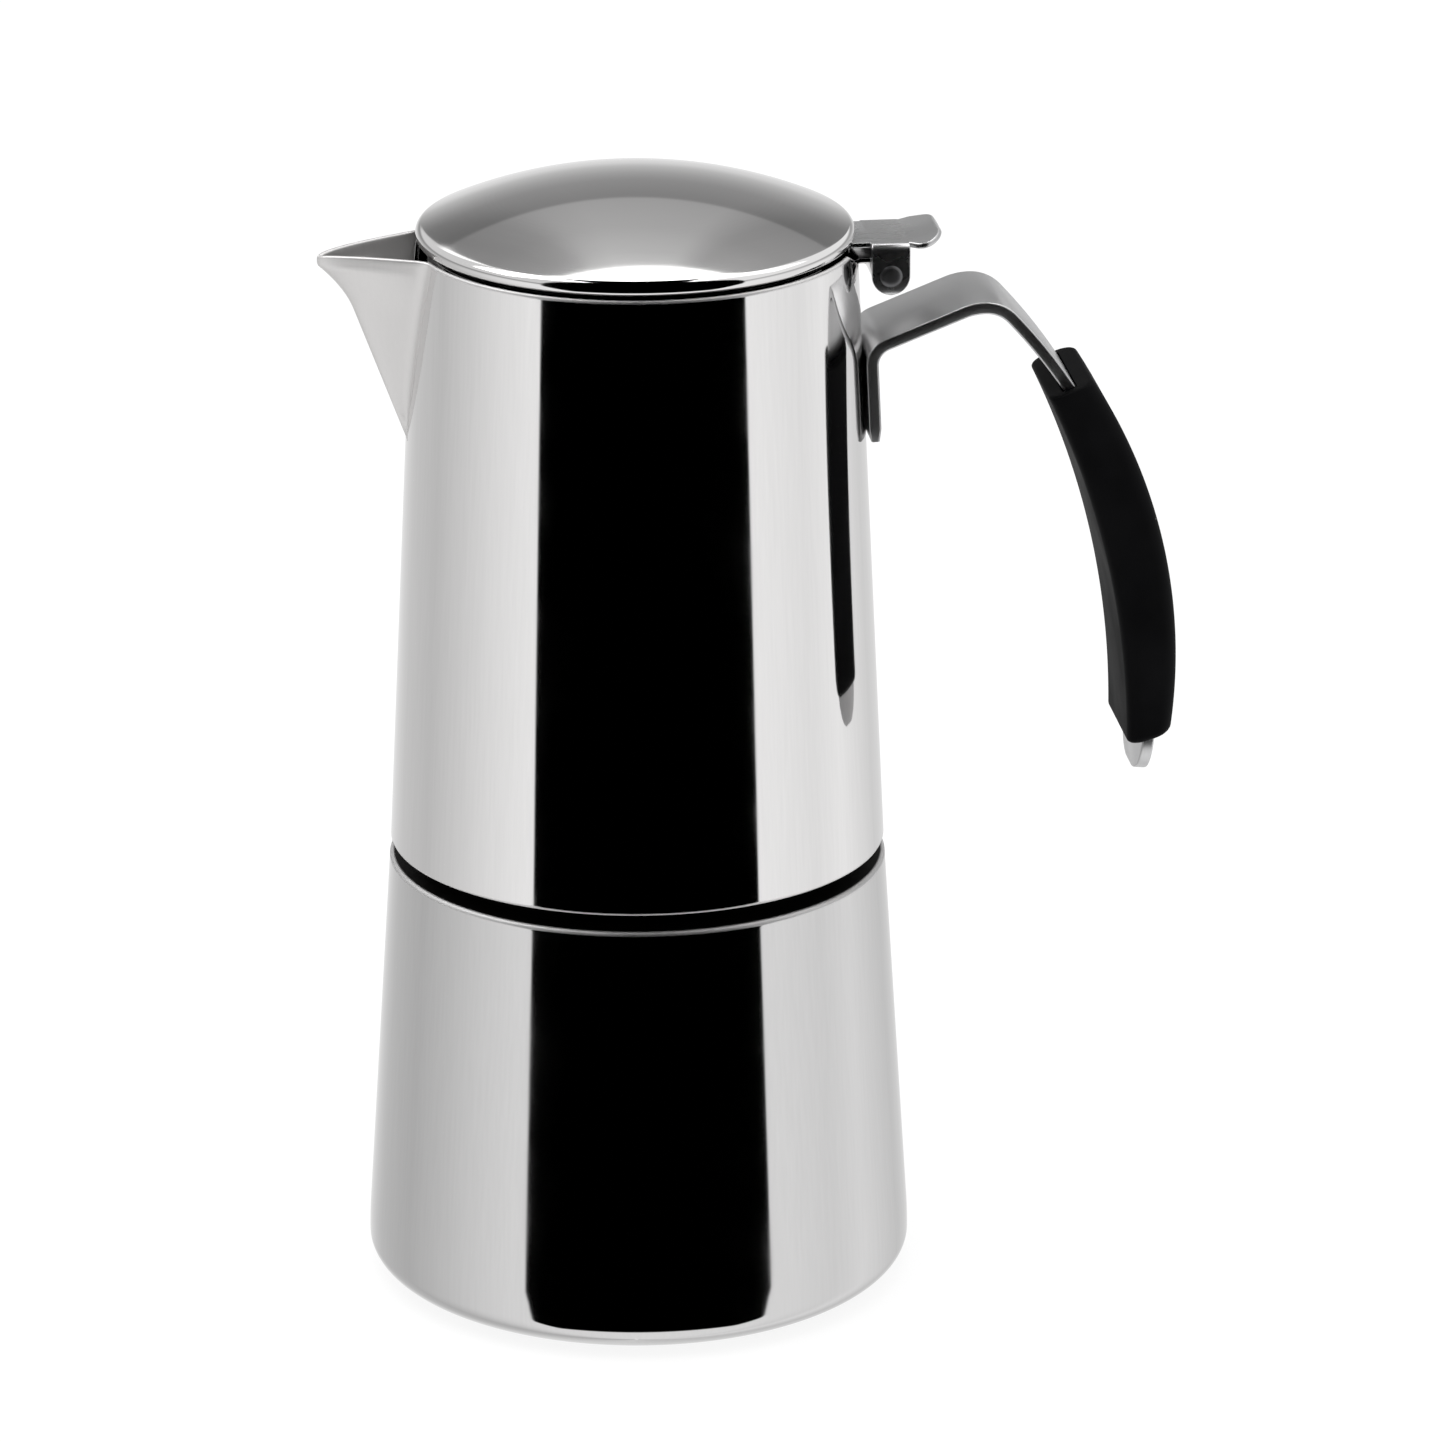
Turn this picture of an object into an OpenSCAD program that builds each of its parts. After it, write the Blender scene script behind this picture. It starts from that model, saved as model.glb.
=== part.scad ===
// Stovetop espresso maker (moka pot) in polished steel, as an assembly of its real pieces.
// Frame: origin at the centre of the base on the table, +Z up the pot's axis,
// handle towards +X, spout towards -X, safety valve towards +Y. Millimetres.

/* [Boiler] */
// Widest outer radius of the boiler
base_r = 50; // [48:0.5:54]
// Height of that widest ring
base_round_h = 6.4; // [5:0.1:9]
// Radius of the flat that the pot stands on
foot_r = 39; // [36:0.5:42]
// Outer radius of the boiler at its shoulder
shoulder_r = 45.15; // [44.5:0.05:46]
// Height of the shoulder
shoulder_z = 80.8; // [80:0.1:81.5]
// Thickness of the base
base_t = 1.6; // [1.2:0.1:2.5]

/* [Collector] */
// Outer radius of the collector at its lower edge
collector_r = 44.95; // [44.8:0.05:45.5]
// Height of the collector's lower edge
collector_z = 83.9; // [83.5:0.1:84.3]
// Outer radius at the rim
rim_r = 39.6; // [39.3:0.1:40]
// Height of the rim
rim_z = 195.75; // [194:0.25:197]
// Thickness of the pressed steel sheet
sheet = 0.9; // [0.7:0.1:1]

/* [Lid] */
// Outer radius of the lid
lid_r = 39.14; // [38.9:0.02:39.3]
// Radius of the rolled edge
lid_roll = 1.7; // [1.5:0.05:1.8]
// Height of the dome's top above the rim
lid_rise = 11.65; // [10:0.05:14]
// Outer radius of the locating ring under the lid
lid_ring_r = 37.2; // [36.8:0.1:37.3]
// How far the locating ring reaches below the rim
lid_ring_drop = 5.5; // [3:0.1:5.8]

/* [Hinge] */
// Distance of the hinge pin from the pot's axis
hinge_x = 44.8; // [44.5:0.1:45.5]
// Height of the hinge pin
hinge_z = 189.9; // [189.7:0.1:190]
// Radius of the hinge pin
pin_r = 1.65; // [1.4:0.05:1.7]
// Width of the thumb lever, over the ears that its sides are folded down to
lever_w = 18.4; // [18:0.2:18.8]

/* [Spout] */
// Half width of the spout at the rim
spout_half_w = 11; // [9:0.5:12]
// Height where the spout starts to leave the wall
spout_start_z = 161; // [155:1:170]
// Reach of the spout's tip from the pot's axis
spout_tip = 56.8; // [54:0.2:58]

/* [Handle] */
// Width of the handle strap
strap_w = 21; // [20:0.2:22]
// Thickness of the handle strap
strap_t = 2.2; // [1.8:0.1:2.4]
// Width of the grip
grip_w = 25.6; // [24.4:0.2:27]

/* [Thread] */
// Rise of the thread in one turn
pitch = 4; // [3.6:0.1:4.4]
// Radius of the neck under its thread
neck_r = 40.4; // [40.2:0.1:40.5]

/* [Hidden] */
$fn = 96;

steel = "silver";
satin_steel = "darkgray";
brass = "goldenrod";
black_plastic = [0.08, 0.08, 0.08];

// Radii of the two tapering walls at a height
function blend(a, b, t) = a + (b - a) * t;
function boiler_r(z) = blend(base_r, shoulder_r, (z - base_round_h) / (shoulder_z - base_round_h));
function collector_out(z) = blend(collector_r, rim_r, (z - collector_z) / (rim_z - collector_z));
function collector_in(z) = collector_out(z) - sheet;
wall_lean = atan((collector_r - rim_r) / (rim_z - collector_z));
boiler_lean = atan((base_r - shoulder_r) / (shoulder_z - base_round_h));

// Stack of pieces between the boiler's neck and the collector's floor
neck_wall = 1.2;
neck_lip = 1.0;
neck_lip_r = 36.3;
neck_top = 91.6;
neck_foot_r = 43;
funnel_sheet = 0.7;
flange_top = neck_top + funnel_sheet;
gasket_t = 3.4;
gasket_in_r = 31;
gasket_out_r = 39.4;
seat_z = flange_top + gasket_t;
plate_t = 0.7;
plate_r = 34.2;

// Thread: both ridges start at their lowest point and climb counter-clockwise, right-handed
thread_segments = 36;
ridge_root_w = 1.7;
ridge_crest_w = 0.9;
male_start_z = 84.4;
male_turns = 1.5;
male_crest_r = 41.6;
female_start_z = male_start_z + pitch / 2;
female_turns = 2;
female_crest_r = 40.95;
ring_bore_r = 42.2;
ring_bottom = collector_z + 0.7;

// Funnel
cup_r = 35.8;
cup_floor_z = 67;
cone_bottom_z = 58;
collar_bottom_z = 50;
stem_r = 4.6;
stem_wall = 0.8;
stem_bottom_z = 7;
screen_ledge = 2;
hole_d = 1.6;
hole_rings = 4;
hole_spacing = 6.4;

// Column that carries the coffee up into the collector
column_foot_r = 7.2;
column_top_r = 5.5;
column_z = 104;
column_top_z = 150;
column_wall = 0.8;
cap_r = 6.5;
cap_top_z = 157;
cap_slot_w = 7;
cap_slot_h = 4;

// Safety valve, in its own frame with +Z out of the boiler's wall
valve_z = 54;
valve_pad_r = 8.4;
valve_pad_out = 0.25;
valve_pad_in = 1.6;
valve_hex = 13;
valve_shank_r = 4.8;
valve_hex_z = 1.45;
valve_hex_h = 4.6;
valve_top_z = 9.2;
valve_inner_end = -6;
valve_port_r = 1.5;
valve_seat_z = 1;
valve_chamber_r = 2.9;
valve_stem_r = 0.9;
valve_stem_proud = 0.6;
valve_cap_t = 1.2;
poppet_head_r = 2.5;
poppet_head_t = 0.8;
poppet_travel = 0.8;
spring_r = 1.9;
spring_wire_r = 0.32;
spring_turns = 4;
nut_h = 3.2;
nut_hex = 14;

// Lid, as a shallow dome tangent to its rolled edge
lid_sheet = 0.8;
lid_top = rim_z + lid_rise;
roll_r = lid_r - lid_roll;
roll_z = rim_z + 1.68;
dome_drop = lid_top - roll_z;
dome_r = (roll_r * roll_r + dome_drop * dome_drop - lid_roll * lid_roll)
         / (2 * (dome_drop - lid_roll));
dome_centre_z = lid_top - dome_r;
function dome_under(r) = dome_centre_z + sqrt(pow(dome_r - lid_sheet, 2) - r * r);
lid_ring_relief = 42;
lid_ring_flange = 3;
lid_ring_gap = 0.1;

// Hinge
lever_t = 1;
lever_top = roll_z - lid_roll;
lever_in_x = 34.9;
lever_flat_x = 49.4;
lever_end_x = 54.3;
lever_curl_r = 7.8;
lever_fold_r = 1.8;
lever_corner_r = 5;
ear_r = 3.45;
ear_t = 1;
ear_out = lever_w / 2;
ear_in = ear_out - ear_t;
pin_clearance = 0.05;
pin_head_r = 2;
pin_head_t = 0.5;
knuckle_r = 3.1;
tongue_w = 15.4;
tongue_t = 1;
tongue_top = hinge_z + knuckle_r;
bracket_foot_z = 181;
notch_half_w = 9.6;
notch_rim_half_w = 16;
notch_slope_z = 193.2;

// Spout
spout_rows = 16;
spout_side_points = 8;
spout_nose = 0.22;
spout_start_reach = 0.3;
spout_lean = 0.375;
spout_lip_drop = 11.15;
spout_lip_curl = 0.0453;
spout_dip = 1.3;
spout_min_half_w = 0.5;
spout_back = 8;
spout_solid_rows = 3;

// Bent strap: each move is a length and the turn made over it, in degrees
strap_foot_z = 159.5;
strap_start = 90 + wall_lean;
strap_rise = 21.5;
strap_fall = -47.2;
strap_end = -95.3;
strap_foot_l = 14.1;
strap_rise_l = 14.6;
strap_foot_bend_r = 4.1;
strap_crest_bend_r = 11.2;
strap_drop_bend_r = 6.7;
strap_grip_bend_r = 100;
strap_tip_l = 11;
strap_tip_corner = 8;
strap_seat = 0.35;
function bend(r, from, to) = [r * (from - to) * PI / 180, to - from];
strap_moves = [
    [strap_foot_l, 0],
    bend(strap_foot_bend_r, strap_start, strap_rise),
    [strap_rise_l, 0],
    bend(strap_crest_bend_r, strap_rise, 0),
    bend(strap_drop_bend_r, 0, strap_fall),
    bend(strap_grip_bend_r, strap_fall, strap_end),
    [strap_tip_l, 0]
];
bend_steps = 10;

// A bent path: the points reached after each step, from a start point and heading
function step_end(p, h, l, turn) =
    abs(turn) < 0.01 ? p + l * [cos(h), sin(h)]
    : let (r = l / (turn * PI / 180))
      p + r * [sin(h + turn) - sin(h), cos(h) - cos(h + turn)];
function bent(p, h, moves, i = 0) =
    i == len(moves) ? [[p, h]]
    : let (l = moves[i][0], turn = moves[i][1], n = abs(turn) < 0.01 ? 1 : bend_steps)
      concat([for (k = [0 : n - 1]) [step_end(p, h, l * k / n, turn * k / n), h + turn * k / n]],
             bent(step_end(p, h, l, turn), h + turn, moves, i + 1));
function beside(path, d) = [for (q = path) q[0] + d * [-sin(q[1]), cos(q[1])]];
function reversed(list) = [for (i = [len(list) - 1 : -1 : 0]) list[i]];

// Points on an arc
function arc(c, r, a0, a1, n) =
    [for (i = [0 : n]) let (a = blend(a0, a1, i / n)) c + r * [cos(a), sin(a)]];

// Helical ridge from a low start, with both ends run out into the wall
module thread_ridge(start_z, turns, wall_r, crest_r) {
    n = turns * thread_segments;
    run_out = 4;
    end_height = 0.4;
    rows = [for (i = [0 : n])
        let (a = i * 360 / thread_segments,
             z = start_z + pitch * i / thread_segments,
             full = min(1, (i + end_height) / run_out, (n - i + end_height) / run_out),
             crest = blend(wall_r, crest_r, full),
             section = [[wall_r, -ridge_root_w], [crest, -ridge_crest_w],
                        [crest, ridge_crest_w], [wall_r, ridge_root_w]])
        [for (s = section) [s[0] * cos(a), s[0] * sin(a), z + s[1] / 2]]];
    outward = crest_r > wall_r;
    sides = [for (i = [0 : n - 1]) for (j = [0 : 3]) let (a = 4 * i + j, b = 4 * i + (j + 1) % 4)
        each [[a, b, b + 4], [a, b + 4, a + 4]]];
    ends = [[3, 2, 1], [3, 1, 0], [4 * n, 4 * n + 1, 4 * n + 2], [4 * n, 4 * n + 2, 4 * n + 3]];
    faces = concat(sides, ends);
    polyhedron([for (row = rows) each row], outward ? faces : [for (f = faces) reversed(f)]);
}

module hole(t) {
    translate([0, 0, -1]) cylinder(d = hole_d, h = t + 2, $fn = 24);
}

// Sheet disc with rings of round holes
module perforated(r, t) {
    difference() {
        cylinder(r = r, h = t);
        hole(t);
        for (k = [1 : hole_rings], i = [0 : 6 * k - 1])
            rotate(i * 60 / k) translate([k * hole_spacing, 0, 0]) hole(t);
    }
}

// Solid under the collector's outer wall
module collector_cone(extra = 0) {
    rotate_extrude() polygon([[0, collector_z], [collector_out(collector_z), collector_z],
                              [collector_out(rim_z + extra), rim_z + extra], [0, rim_z + extra]]);
}

module boiler_outline() {
    edge = 0.8;
    polygon(concat(
        [[0, 0]],
        [for (a = [0 : 7.5 : 90])
            [foot_r + (base_r - foot_r) * sin(a), base_round_h * (1 - cos(a))]],
        arc([boiler_r(shoulder_z) - edge, shoulder_z - edge], edge, 0, 90, 4),
        [[neck_r, shoulder_z], [neck_r, shoulder_z - sheet]],
        [[boiler_r(shoulder_z) - sheet, shoulder_z - sheet]],
        [for (a = [90 : -7.5 : 0])
            [foot_r + (base_r - sheet - foot_r) * sin(a),
             base_t + (base_round_h - base_t) * (1 - cos(a))]],
        [[0, base_t]]));
}

module at_valve() {
    translate([0, boiler_r(valve_z), valve_z]) rotate([-90 + boiler_lean, 0, 0]) children();
}

module boiler_shell() {
    color(steel) difference() {
        union() {
            rotate_extrude() boiler_outline();
            at_valve() translate([0, 0, -valve_pad_in])
                cylinder(r = valve_pad_r, h = valve_pad_in + valve_pad_out);
        }
        at_valve() translate([0, 0, -3]) cylinder(r = valve_shank_r, h = 6);
    }
}

module boiler_neck() {
    under = shoulder_z - sheet;
    color(satin_steel) {
        rotate_extrude() polygon([
            [neck_r - neck_wall, under - neck_lip],
            [neck_foot_r, under - neck_lip], [neck_foot_r, under],
            [neck_r, under], [neck_r, neck_top], [neck_lip_r, neck_top],
            [neck_lip_r, neck_top - neck_lip], [neck_r - neck_wall, neck_top - neck_lip]]);
        thread_ridge(male_start_z, male_turns, neck_r - neck_wall / 2, male_crest_r);
    }
}

module valve_body() {
    color(brass) at_valve() difference() {
        union() {
            translate([0, 0, valve_inner_end])
                cylinder(r = valve_shank_r, h = valve_hex_z - valve_inner_end);
            translate([0, 0, valve_hex_z])
                cylinder(d = valve_hex / cos(30), h = valve_hex_h, $fn = 6);
            translate([0, 0, valve_hex_z + valve_hex_h])
                cylinder(r = valve_shank_r, h = valve_top_z - valve_hex_z - valve_hex_h);
        }
        translate([0, 0, valve_inner_end - 1]) cylinder(r = valve_port_r, h = valve_top_z);
        translate([0, 0, valve_seat_z]) cylinder(r = valve_chamber_r, h = valve_top_z);
    }
}

module valve_cap() {
    color(brass) at_valve() translate([0, 0, valve_top_z - valve_cap_t]) difference() {
        cylinder(r = valve_chamber_r, h = valve_cap_t);
        translate([0, 0, -1]) cylinder(r = valve_stem_r + pin_clearance, h = valve_cap_t + 2);
    }
}

module valve_poppet() {
    color(satin_steel) at_valve() translate([0, 0, valve_seat_z]) {
        cylinder(r = poppet_head_r, h = poppet_head_t);
        cylinder(r = valve_stem_r, h = valve_top_z - valve_seat_z + valve_stem_proud);
    }
}

module valve_spring() {
    low = valve_seat_z + poppet_head_t + spring_wire_r;
    high = valve_top_z - valve_cap_t - poppet_travel - 0.1 - spring_wire_r;
    steps = spring_turns * 16;
    around = 6;
    points = [for (i = [0 : steps]) let (a = i * 22.5, z = blend(low, high, i / steps))
        each [for (j = [0 : around - 1]) let (b = j * 60, r = spring_r + spring_wire_r * cos(b))
            [r * cos(a), r * sin(a), z + spring_wire_r * sin(b)]]];
    sides = [for (i = [0 : steps - 1], j = [0 : around - 1])
        let (a = i * around + j, b = i * around + (j + 1) % around)
        each [[a, b, b + around], [a, b + around, a + around]]];
    last = steps * around;
    ends = [for (j = [1 : around - 2]) each [[0, j + 1, j], [last, last + j, last + j + 1]]];
    color(satin_steel) at_valve() polyhedron(points, concat(sides, ends));
}

module valve_washer() {
    color("silver") at_valve() translate([0, 0, valve_pad_out]) difference() {
        cylinder(r = valve_pad_r - 0.6, h = valve_hex_z - valve_pad_out);
        translate([0, 0, -1]) cylinder(r = valve_shank_r, h = 4);
    }
}

module valve_nut() {
    color(brass) at_valve() translate([0, 0, -valve_pad_in - nut_h]) difference() {
        cylinder(d = nut_hex / cos(30), h = nut_h, $fn = 6);
        translate([0, 0, -1]) cylinder(r = valve_shank_r, h = nut_h + 2);
    }
}

module funnel_cup() {
    in_r = cup_r - funnel_sheet;
    collar_r = stem_r + funnel_sheet;
    color(steel) rotate_extrude() polygon([
        [stem_r, collar_bottom_z], [collar_r, collar_bottom_z], [collar_r, cone_bottom_z],
        [cup_r, cup_floor_z], [cup_r, neck_top], [gasket_out_r, neck_top], [gasket_out_r, flange_top],
        [in_r, flange_top], [in_r, cup_floor_z + funnel_sheet],
        [in_r - screen_ledge, cup_floor_z + funnel_sheet],
        [stem_r, cone_bottom_z + funnel_sheet]]);
}

module funnel_screen() {
    color(satin_steel) translate([0, 0, cup_floor_z + funnel_sheet])
        perforated(cup_r - funnel_sheet, plate_t);
}

module funnel_stem() {
    color(steel) translate([0, 0, stem_bottom_z]) difference() {
        cylinder(r = stem_r, h = cone_bottom_z - stem_bottom_z);
        translate([0, 0, -1]) cylinder(r = stem_r - stem_wall, h = cone_bottom_z);
    }
}

module gasket() {
    edge = 0.6;
    color("whitesmoke") rotate_extrude() polygon(concat(
        arc([gasket_out_r - edge, flange_top + edge], edge, -90, 0, 4),
        arc([gasket_out_r - edge, seat_z - edge], edge, 0, 90, 4),
        arc([gasket_in_r + edge, seat_z - edge], edge, 90, 180, 4),
        arc([gasket_in_r + edge, flange_top + edge], edge, 180, 270, 4)));
}

module filter_plate() {
    color(satin_steel) translate([0, 0, seat_z]) perforated(plate_r, plate_t);
}

module collector_floor() {
    recess_z = seat_z + plate_t;
    dish_r = gasket_in_r - 1;
    collar_r = column_foot_r + sheet;
    collar_h = 4;
    color(steel) rotate_extrude() polygon([
        [collector_in(seat_z), seat_z], [plate_r, seat_z], [plate_r, recess_z], [dish_r, recess_z],
        [column_foot_r, column_z], [column_foot_r, column_z + collar_h],
        [collar_r, column_z + collar_h], [collar_r, column_z + sheet],
        [dish_r + 0.2, recess_z + sheet], [plate_r + sheet, recess_z + sheet],
        [plate_r + sheet, seat_z + sheet], [collector_in(seat_z + sheet), seat_z + sheet]]);
}

module collector_thread_ring() {
    color(satin_steel) {
        rotate_extrude() polygon([[ring_bore_r, ring_bottom], [collector_in(ring_bottom), ring_bottom],
                                  [collector_in(seat_z), seat_z], [ring_bore_r, seat_z]]);
        thread_ridge(female_start_z, female_turns, ring_bore_r + 0.4, female_crest_r);
    }
}

module collector_shell() {
    notch_floor = tongue_top - tongue_t;
    window_low = spout_start_z + 6;
    window_half_w = spout_half_w - 1.8;
    color(steel) difference() {
        rotate_extrude() polygon([
            [collector_in(collector_z), collector_z], [collector_out(collector_z), collector_z],
            [rim_r, rim_z], [rim_r - sheet, rim_z]]);
        rotate([90, 0, 90]) linear_extrude(60) polygon([
            [notch_half_w, notch_floor], [notch_half_w, notch_slope_z],
            [notch_rim_half_w, rim_z], [notch_rim_half_w, rim_z + 1],
            [-notch_rim_half_w, rim_z + 1], [-notch_rim_half_w, rim_z],
            [-notch_half_w, notch_slope_z], [-notch_half_w, notch_floor]]);
        rotate([90, 0, -90]) linear_extrude(60)
            polygon([[0, window_low], [window_half_w, rim_z + 1], [-window_half_w, rim_z + 1]]);
    }
}

// Spout: a rounded V in plan at each height, running out from two creases in the wall
function spout_w(z) = max(spout_min_half_w,
    spout_half_w * (z - spout_start_z) / (rim_z - spout_start_z));
function spout_lead(z) = min(spout_tip, collector_out(spout_start_z) + spout_start_reach
    + spout_lean * (z - spout_start_z) + spout_lip_curl * pow(max(0, z - rim_z + spout_lip_drop), 2));
// The solid inside the V, shrunk by a wall thickness, from a row up to a raised top
module spout_block(wall, raise, first_row) {
    m = spout_side_points;
    past_crease = 1.12;
    rows = [for (k = [first_row : spout_rows])
        let (z = blend(spout_start_z, rim_z, k / spout_rows),
             half_w = spout_w(z),
             root_x = sqrt(pow(collector_out(z), 2) - half_w * half_w),
             w = max(spout_min_half_w / 2, half_w - past_crease * wall),
             nose = spout_nose * w,
             lead = spout_lead(z) - wall,
             slope = (lead - root_x) / (sqrt(w * w + nose * nose) - nose))
        concat(
            [for (i = [-m : m])
                let (y = past_crease * w * i / m,
                     drop = slope * (sqrt(y * y + nose * nose) - nose),
                     near_tip = max(0, 1 - abs(y) / w),
                     top = k == spout_rows ? raise - spout_dip * pow(near_tip, 2) : 0)
                [drop - lead, y, z + top]],
            [[spout_back - collector_out(z), 0, z + (k == spout_rows ? raise : 0)]])];
    n = 2 * m + 2;
    levels = spout_rows - first_row;
    last = levels * n;
    faces = concat(
        [for (k = [0 : levels - 1], i = [0 : n - 1]) let (a = k * n + i, b = k * n + (i + 1) % n)
            each [[a, b, b + n], [a, b + n, a + n]]],
        [for (i = [0 : n - 3]) each [[n - 1, i + 1, i], [last + n - 1, last + i, last + i + 1]]]);
    polyhedron([for (row = rows) each row], faces);
}

module spout() {
    color(steel) difference() {
        spout_block(0, 0, 0);
        spout_block(sheet, 3, spout_solid_rows);
        collector_cone(extra = 5);
    }
}

module column_tube() {
    straight = 5;
    in_foot = column_foot_r - column_wall;
    in_top = column_top_r - column_wall;
    color(steel) rotate_extrude() polygon([
        [in_foot, column_z], [column_foot_r, column_z], [column_foot_r, column_z + straight],
        [column_top_r, column_top_z - 2 * straight], [column_top_r, column_top_z],
        [in_top, column_top_z], [in_top, column_top_z - 2 * straight], [in_foot, column_z + straight]]);
}

module column_cap() {
    skirt = 4;
    low = column_top_z - skirt;
    roof_t = 0.8;
    color(steel) difference() {
        union() {
            translate([0, 0, low]) cylinder(r = cap_r, h = cap_top_z - low);
            translate([0, 0, cap_top_z]) cylinder(r1 = cap_r, r2 = cap_r - 2, h = 1.2);
        }
        translate([0, 0, low - 1]) cylinder(r = column_top_r, h = cap_top_z - low + 1 - roof_t);
        translate([-cap_r - 1, -cap_slot_w / 2, column_top_z + 1])
            cube([2 * cap_r + 2, cap_slot_w, cap_slot_h]);
    }
}

module hinge_bracket() {
    tongue_in_x = rim_r - sheet - tongue_t;
    foot_x = 30;
    foot_out = collector_in(bracket_foot_z);
    top_out = collector_in(tongue_top);
    color(steel) difference() {
        union() {
            translate([hinge_x, tongue_w / 2, hinge_z]) rotate([90, 0, 0])
                cylinder(r = knuckle_r, h = tongue_w);
            translate([tongue_in_x, -tongue_w / 2, tongue_top - tongue_t])
                cube([hinge_x - tongue_in_x, tongue_w, tongue_t]);
            intersection() {
                translate([foot_x, -tongue_w / 2, bracket_foot_z])
                    cube([rim_r - foot_x, tongue_w, tongue_top - bracket_foot_z]);
                rotate_extrude() polygon([
                    [foot_out - tongue_t, bracket_foot_z], [foot_out, bracket_foot_z],
                    [top_out, tongue_top], [top_out - tongue_t, tongue_top]]);
            }
        }
        translate([hinge_x, tongue_w / 2 + 1, hinge_z]) rotate([90, 0, 0])
            cylinder(r = pin_r + pin_clearance, h = tongue_w + 2);
    }
}

module hinge_pin() {
    color(satin_steel) translate([hinge_x, 0, hinge_z]) rotate([90, 0, 0]) {
        cylinder(r = pin_r, h = 2 * ear_out, center = true);
        for (s = [-1, 1]) translate([0, 0, s * (ear_out + pin_head_t / 2)])
            cylinder(r = pin_head_r, h = pin_head_t, center = true);
    }
}

module lid_dome() {
    color(steel) rotate_extrude() {
        intersection() {
            translate([0, dome_centre_z]) difference() {
                circle(dome_r, $fn = 360);
                circle(dome_r - lid_sheet, $fn = 360);
            }
            translate([0, roll_z]) square([roll_r, lid_top]);
        }
        translate([roll_r, roll_z]) circle(lid_roll, $fn = 48);
    }
}

module lid_ring() {
    in_r = lid_ring_r - lid_sheet;
    top_r = roll_r - lid_roll - lid_ring_gap;
    top_in_r = top_r - lid_sheet;
    flange_r = top_in_r - lid_ring_flange;
    bottom = rim_z - lid_ring_drop;
    joggle_top = lever_top - lid_ring_gap;
    joggle_low = joggle_top - (lid_ring_r - top_r);
    color(steel) difference() {
        rotate_extrude() difference() {
            polygon([[lid_ring_r, bottom], [lid_ring_r, joggle_low],
                     [top_r, joggle_top], [top_r, lid_top],
                     [flange_r, lid_top], [flange_r, dome_under(flange_r) - lid_sheet],
                     [top_in_r, dome_under(top_in_r) - lid_sheet], [top_in_r, joggle_top],
                     [in_r, joggle_low], [in_r, bottom]]);
            translate([0, dome_centre_z]) difference() {
                circle(dome_r + 20, $fn = 360);
                circle(dome_r - lid_sheet, $fn = 360);
            }
        }
        translate([0, -lid_ring_relief / 2, bottom - 1])
            cube([50, lid_ring_relief, lever_top - bottom + 1]);
    }
}

module lid_lever() {
    curl_l = lever_end_x - lever_flat_x;
    curl = asin(curl_l / lever_curl_r);
    top_line = concat([[lever_in_x, lever_top]],
        arc([lever_flat_x, lever_top + lever_curl_r], lever_curl_r, -90, -90 + curl, 6));
    low_line = concat([[lever_in_x, lever_top - lever_t]],
        arc([lever_flat_x, lever_top + lever_curl_r], lever_curl_r + lever_t, -90, -90 + curl, 6));
    flat_half_w = ear_out - lever_fold_r;
    tab_x = hinge_x + ear_r;
    corner_x = lever_end_x - lever_corner_r;
    fold_z = lever_top - lever_fold_r;
    color(steel) difference() {
        union() {
            intersection() {
                translate([0, ear_out, 0]) rotate([90, 0, 0])
                    linear_extrude(2 * ear_out) polygon(concat(low_line, reversed(top_line)));
                translate([0, 0, hinge_z]) linear_extrude(20) union() {
                    translate([lever_in_x - 1, -flat_half_w])
                        square([tab_x + 2 - lever_in_x, 2 * flat_half_w]);
                    translate([tab_x, -ear_out]) square([corner_x - tab_x, 2 * ear_out]);
                    translate([tab_x, lever_corner_r - ear_out])
                        square([lever_end_x - tab_x, 2 * (ear_out - lever_corner_r)]);
                    for (s = [-1, 1])
                        translate([corner_x, s * (ear_out - lever_corner_r)]) circle(lever_corner_r);
                }
            }
            for (s = [-1, 1])
                translate([hinge_x, s * (ear_in + ear_t / 2), hinge_z]) rotate([90, 0, 0]) {
                    cylinder(r = ear_r, h = ear_t, center = true);
                    translate([-ear_r, 0, -ear_t / 2]) cube([2 * ear_r, fold_z - hinge_z, ear_t]);
                }
            for (s = [-1, 1])
                translate([hinge_x - ear_r, s * flat_half_w, fold_z]) rotate([90, 0, 90])
                    linear_extrude(2 * ear_r) intersection() {
                        difference() {
                            circle(lever_fold_r);
                            circle(lever_fold_r - ear_t);
                        }
                        translate([s > 0 ? 0 : -lever_fold_r, 0]) square(lever_fold_r);
                    }
        }
        translate([hinge_x, ear_out + 1, hinge_z]) rotate([90, 0, 0])
            cylinder(r = pin_r, h = 2 * ear_out + 2);
    }
}

// The foot is pressed a little into the wall's curve, where it is welded
function strap_line() = bent(
    [collector_out(strap_foot_z) + strap_t / 2 - strap_seat, strap_foot_z], strap_start, strap_moves);

module strap_blank() {
    line = strap_line();
    translate([0, strap_w / 2, 0]) rotate([90, 0, 0]) linear_extrude(strap_w)
        polygon(concat(beside(line, strap_t / 2), reversed(beside(line, -strap_t / 2))));
}

module handle_strap() {
    line = strap_line();
    tip_z = line[len(line) - 1][0][1] - 1;
    flat_w = strap_w - 2 * strap_tip_corner;
    color(satin_steel) difference() {
        strap_blank();
        collector_cone();
        translate([80, 0, tip_z]) for (s = [-1, 1]) difference() {
            translate([0, s > 0 ? flat_w / 2 : -flat_w / 2 - 2 * strap_tip_corner, -1])
                cube([25, 2 * strap_tip_corner, strap_tip_corner + 2]);
            translate([-1, s * flat_w / 2, strap_tip_corner + 1]) rotate([0, 90, 0])
                cylinder(r = strap_tip_corner, h = 30);
        }
    }
}

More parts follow.
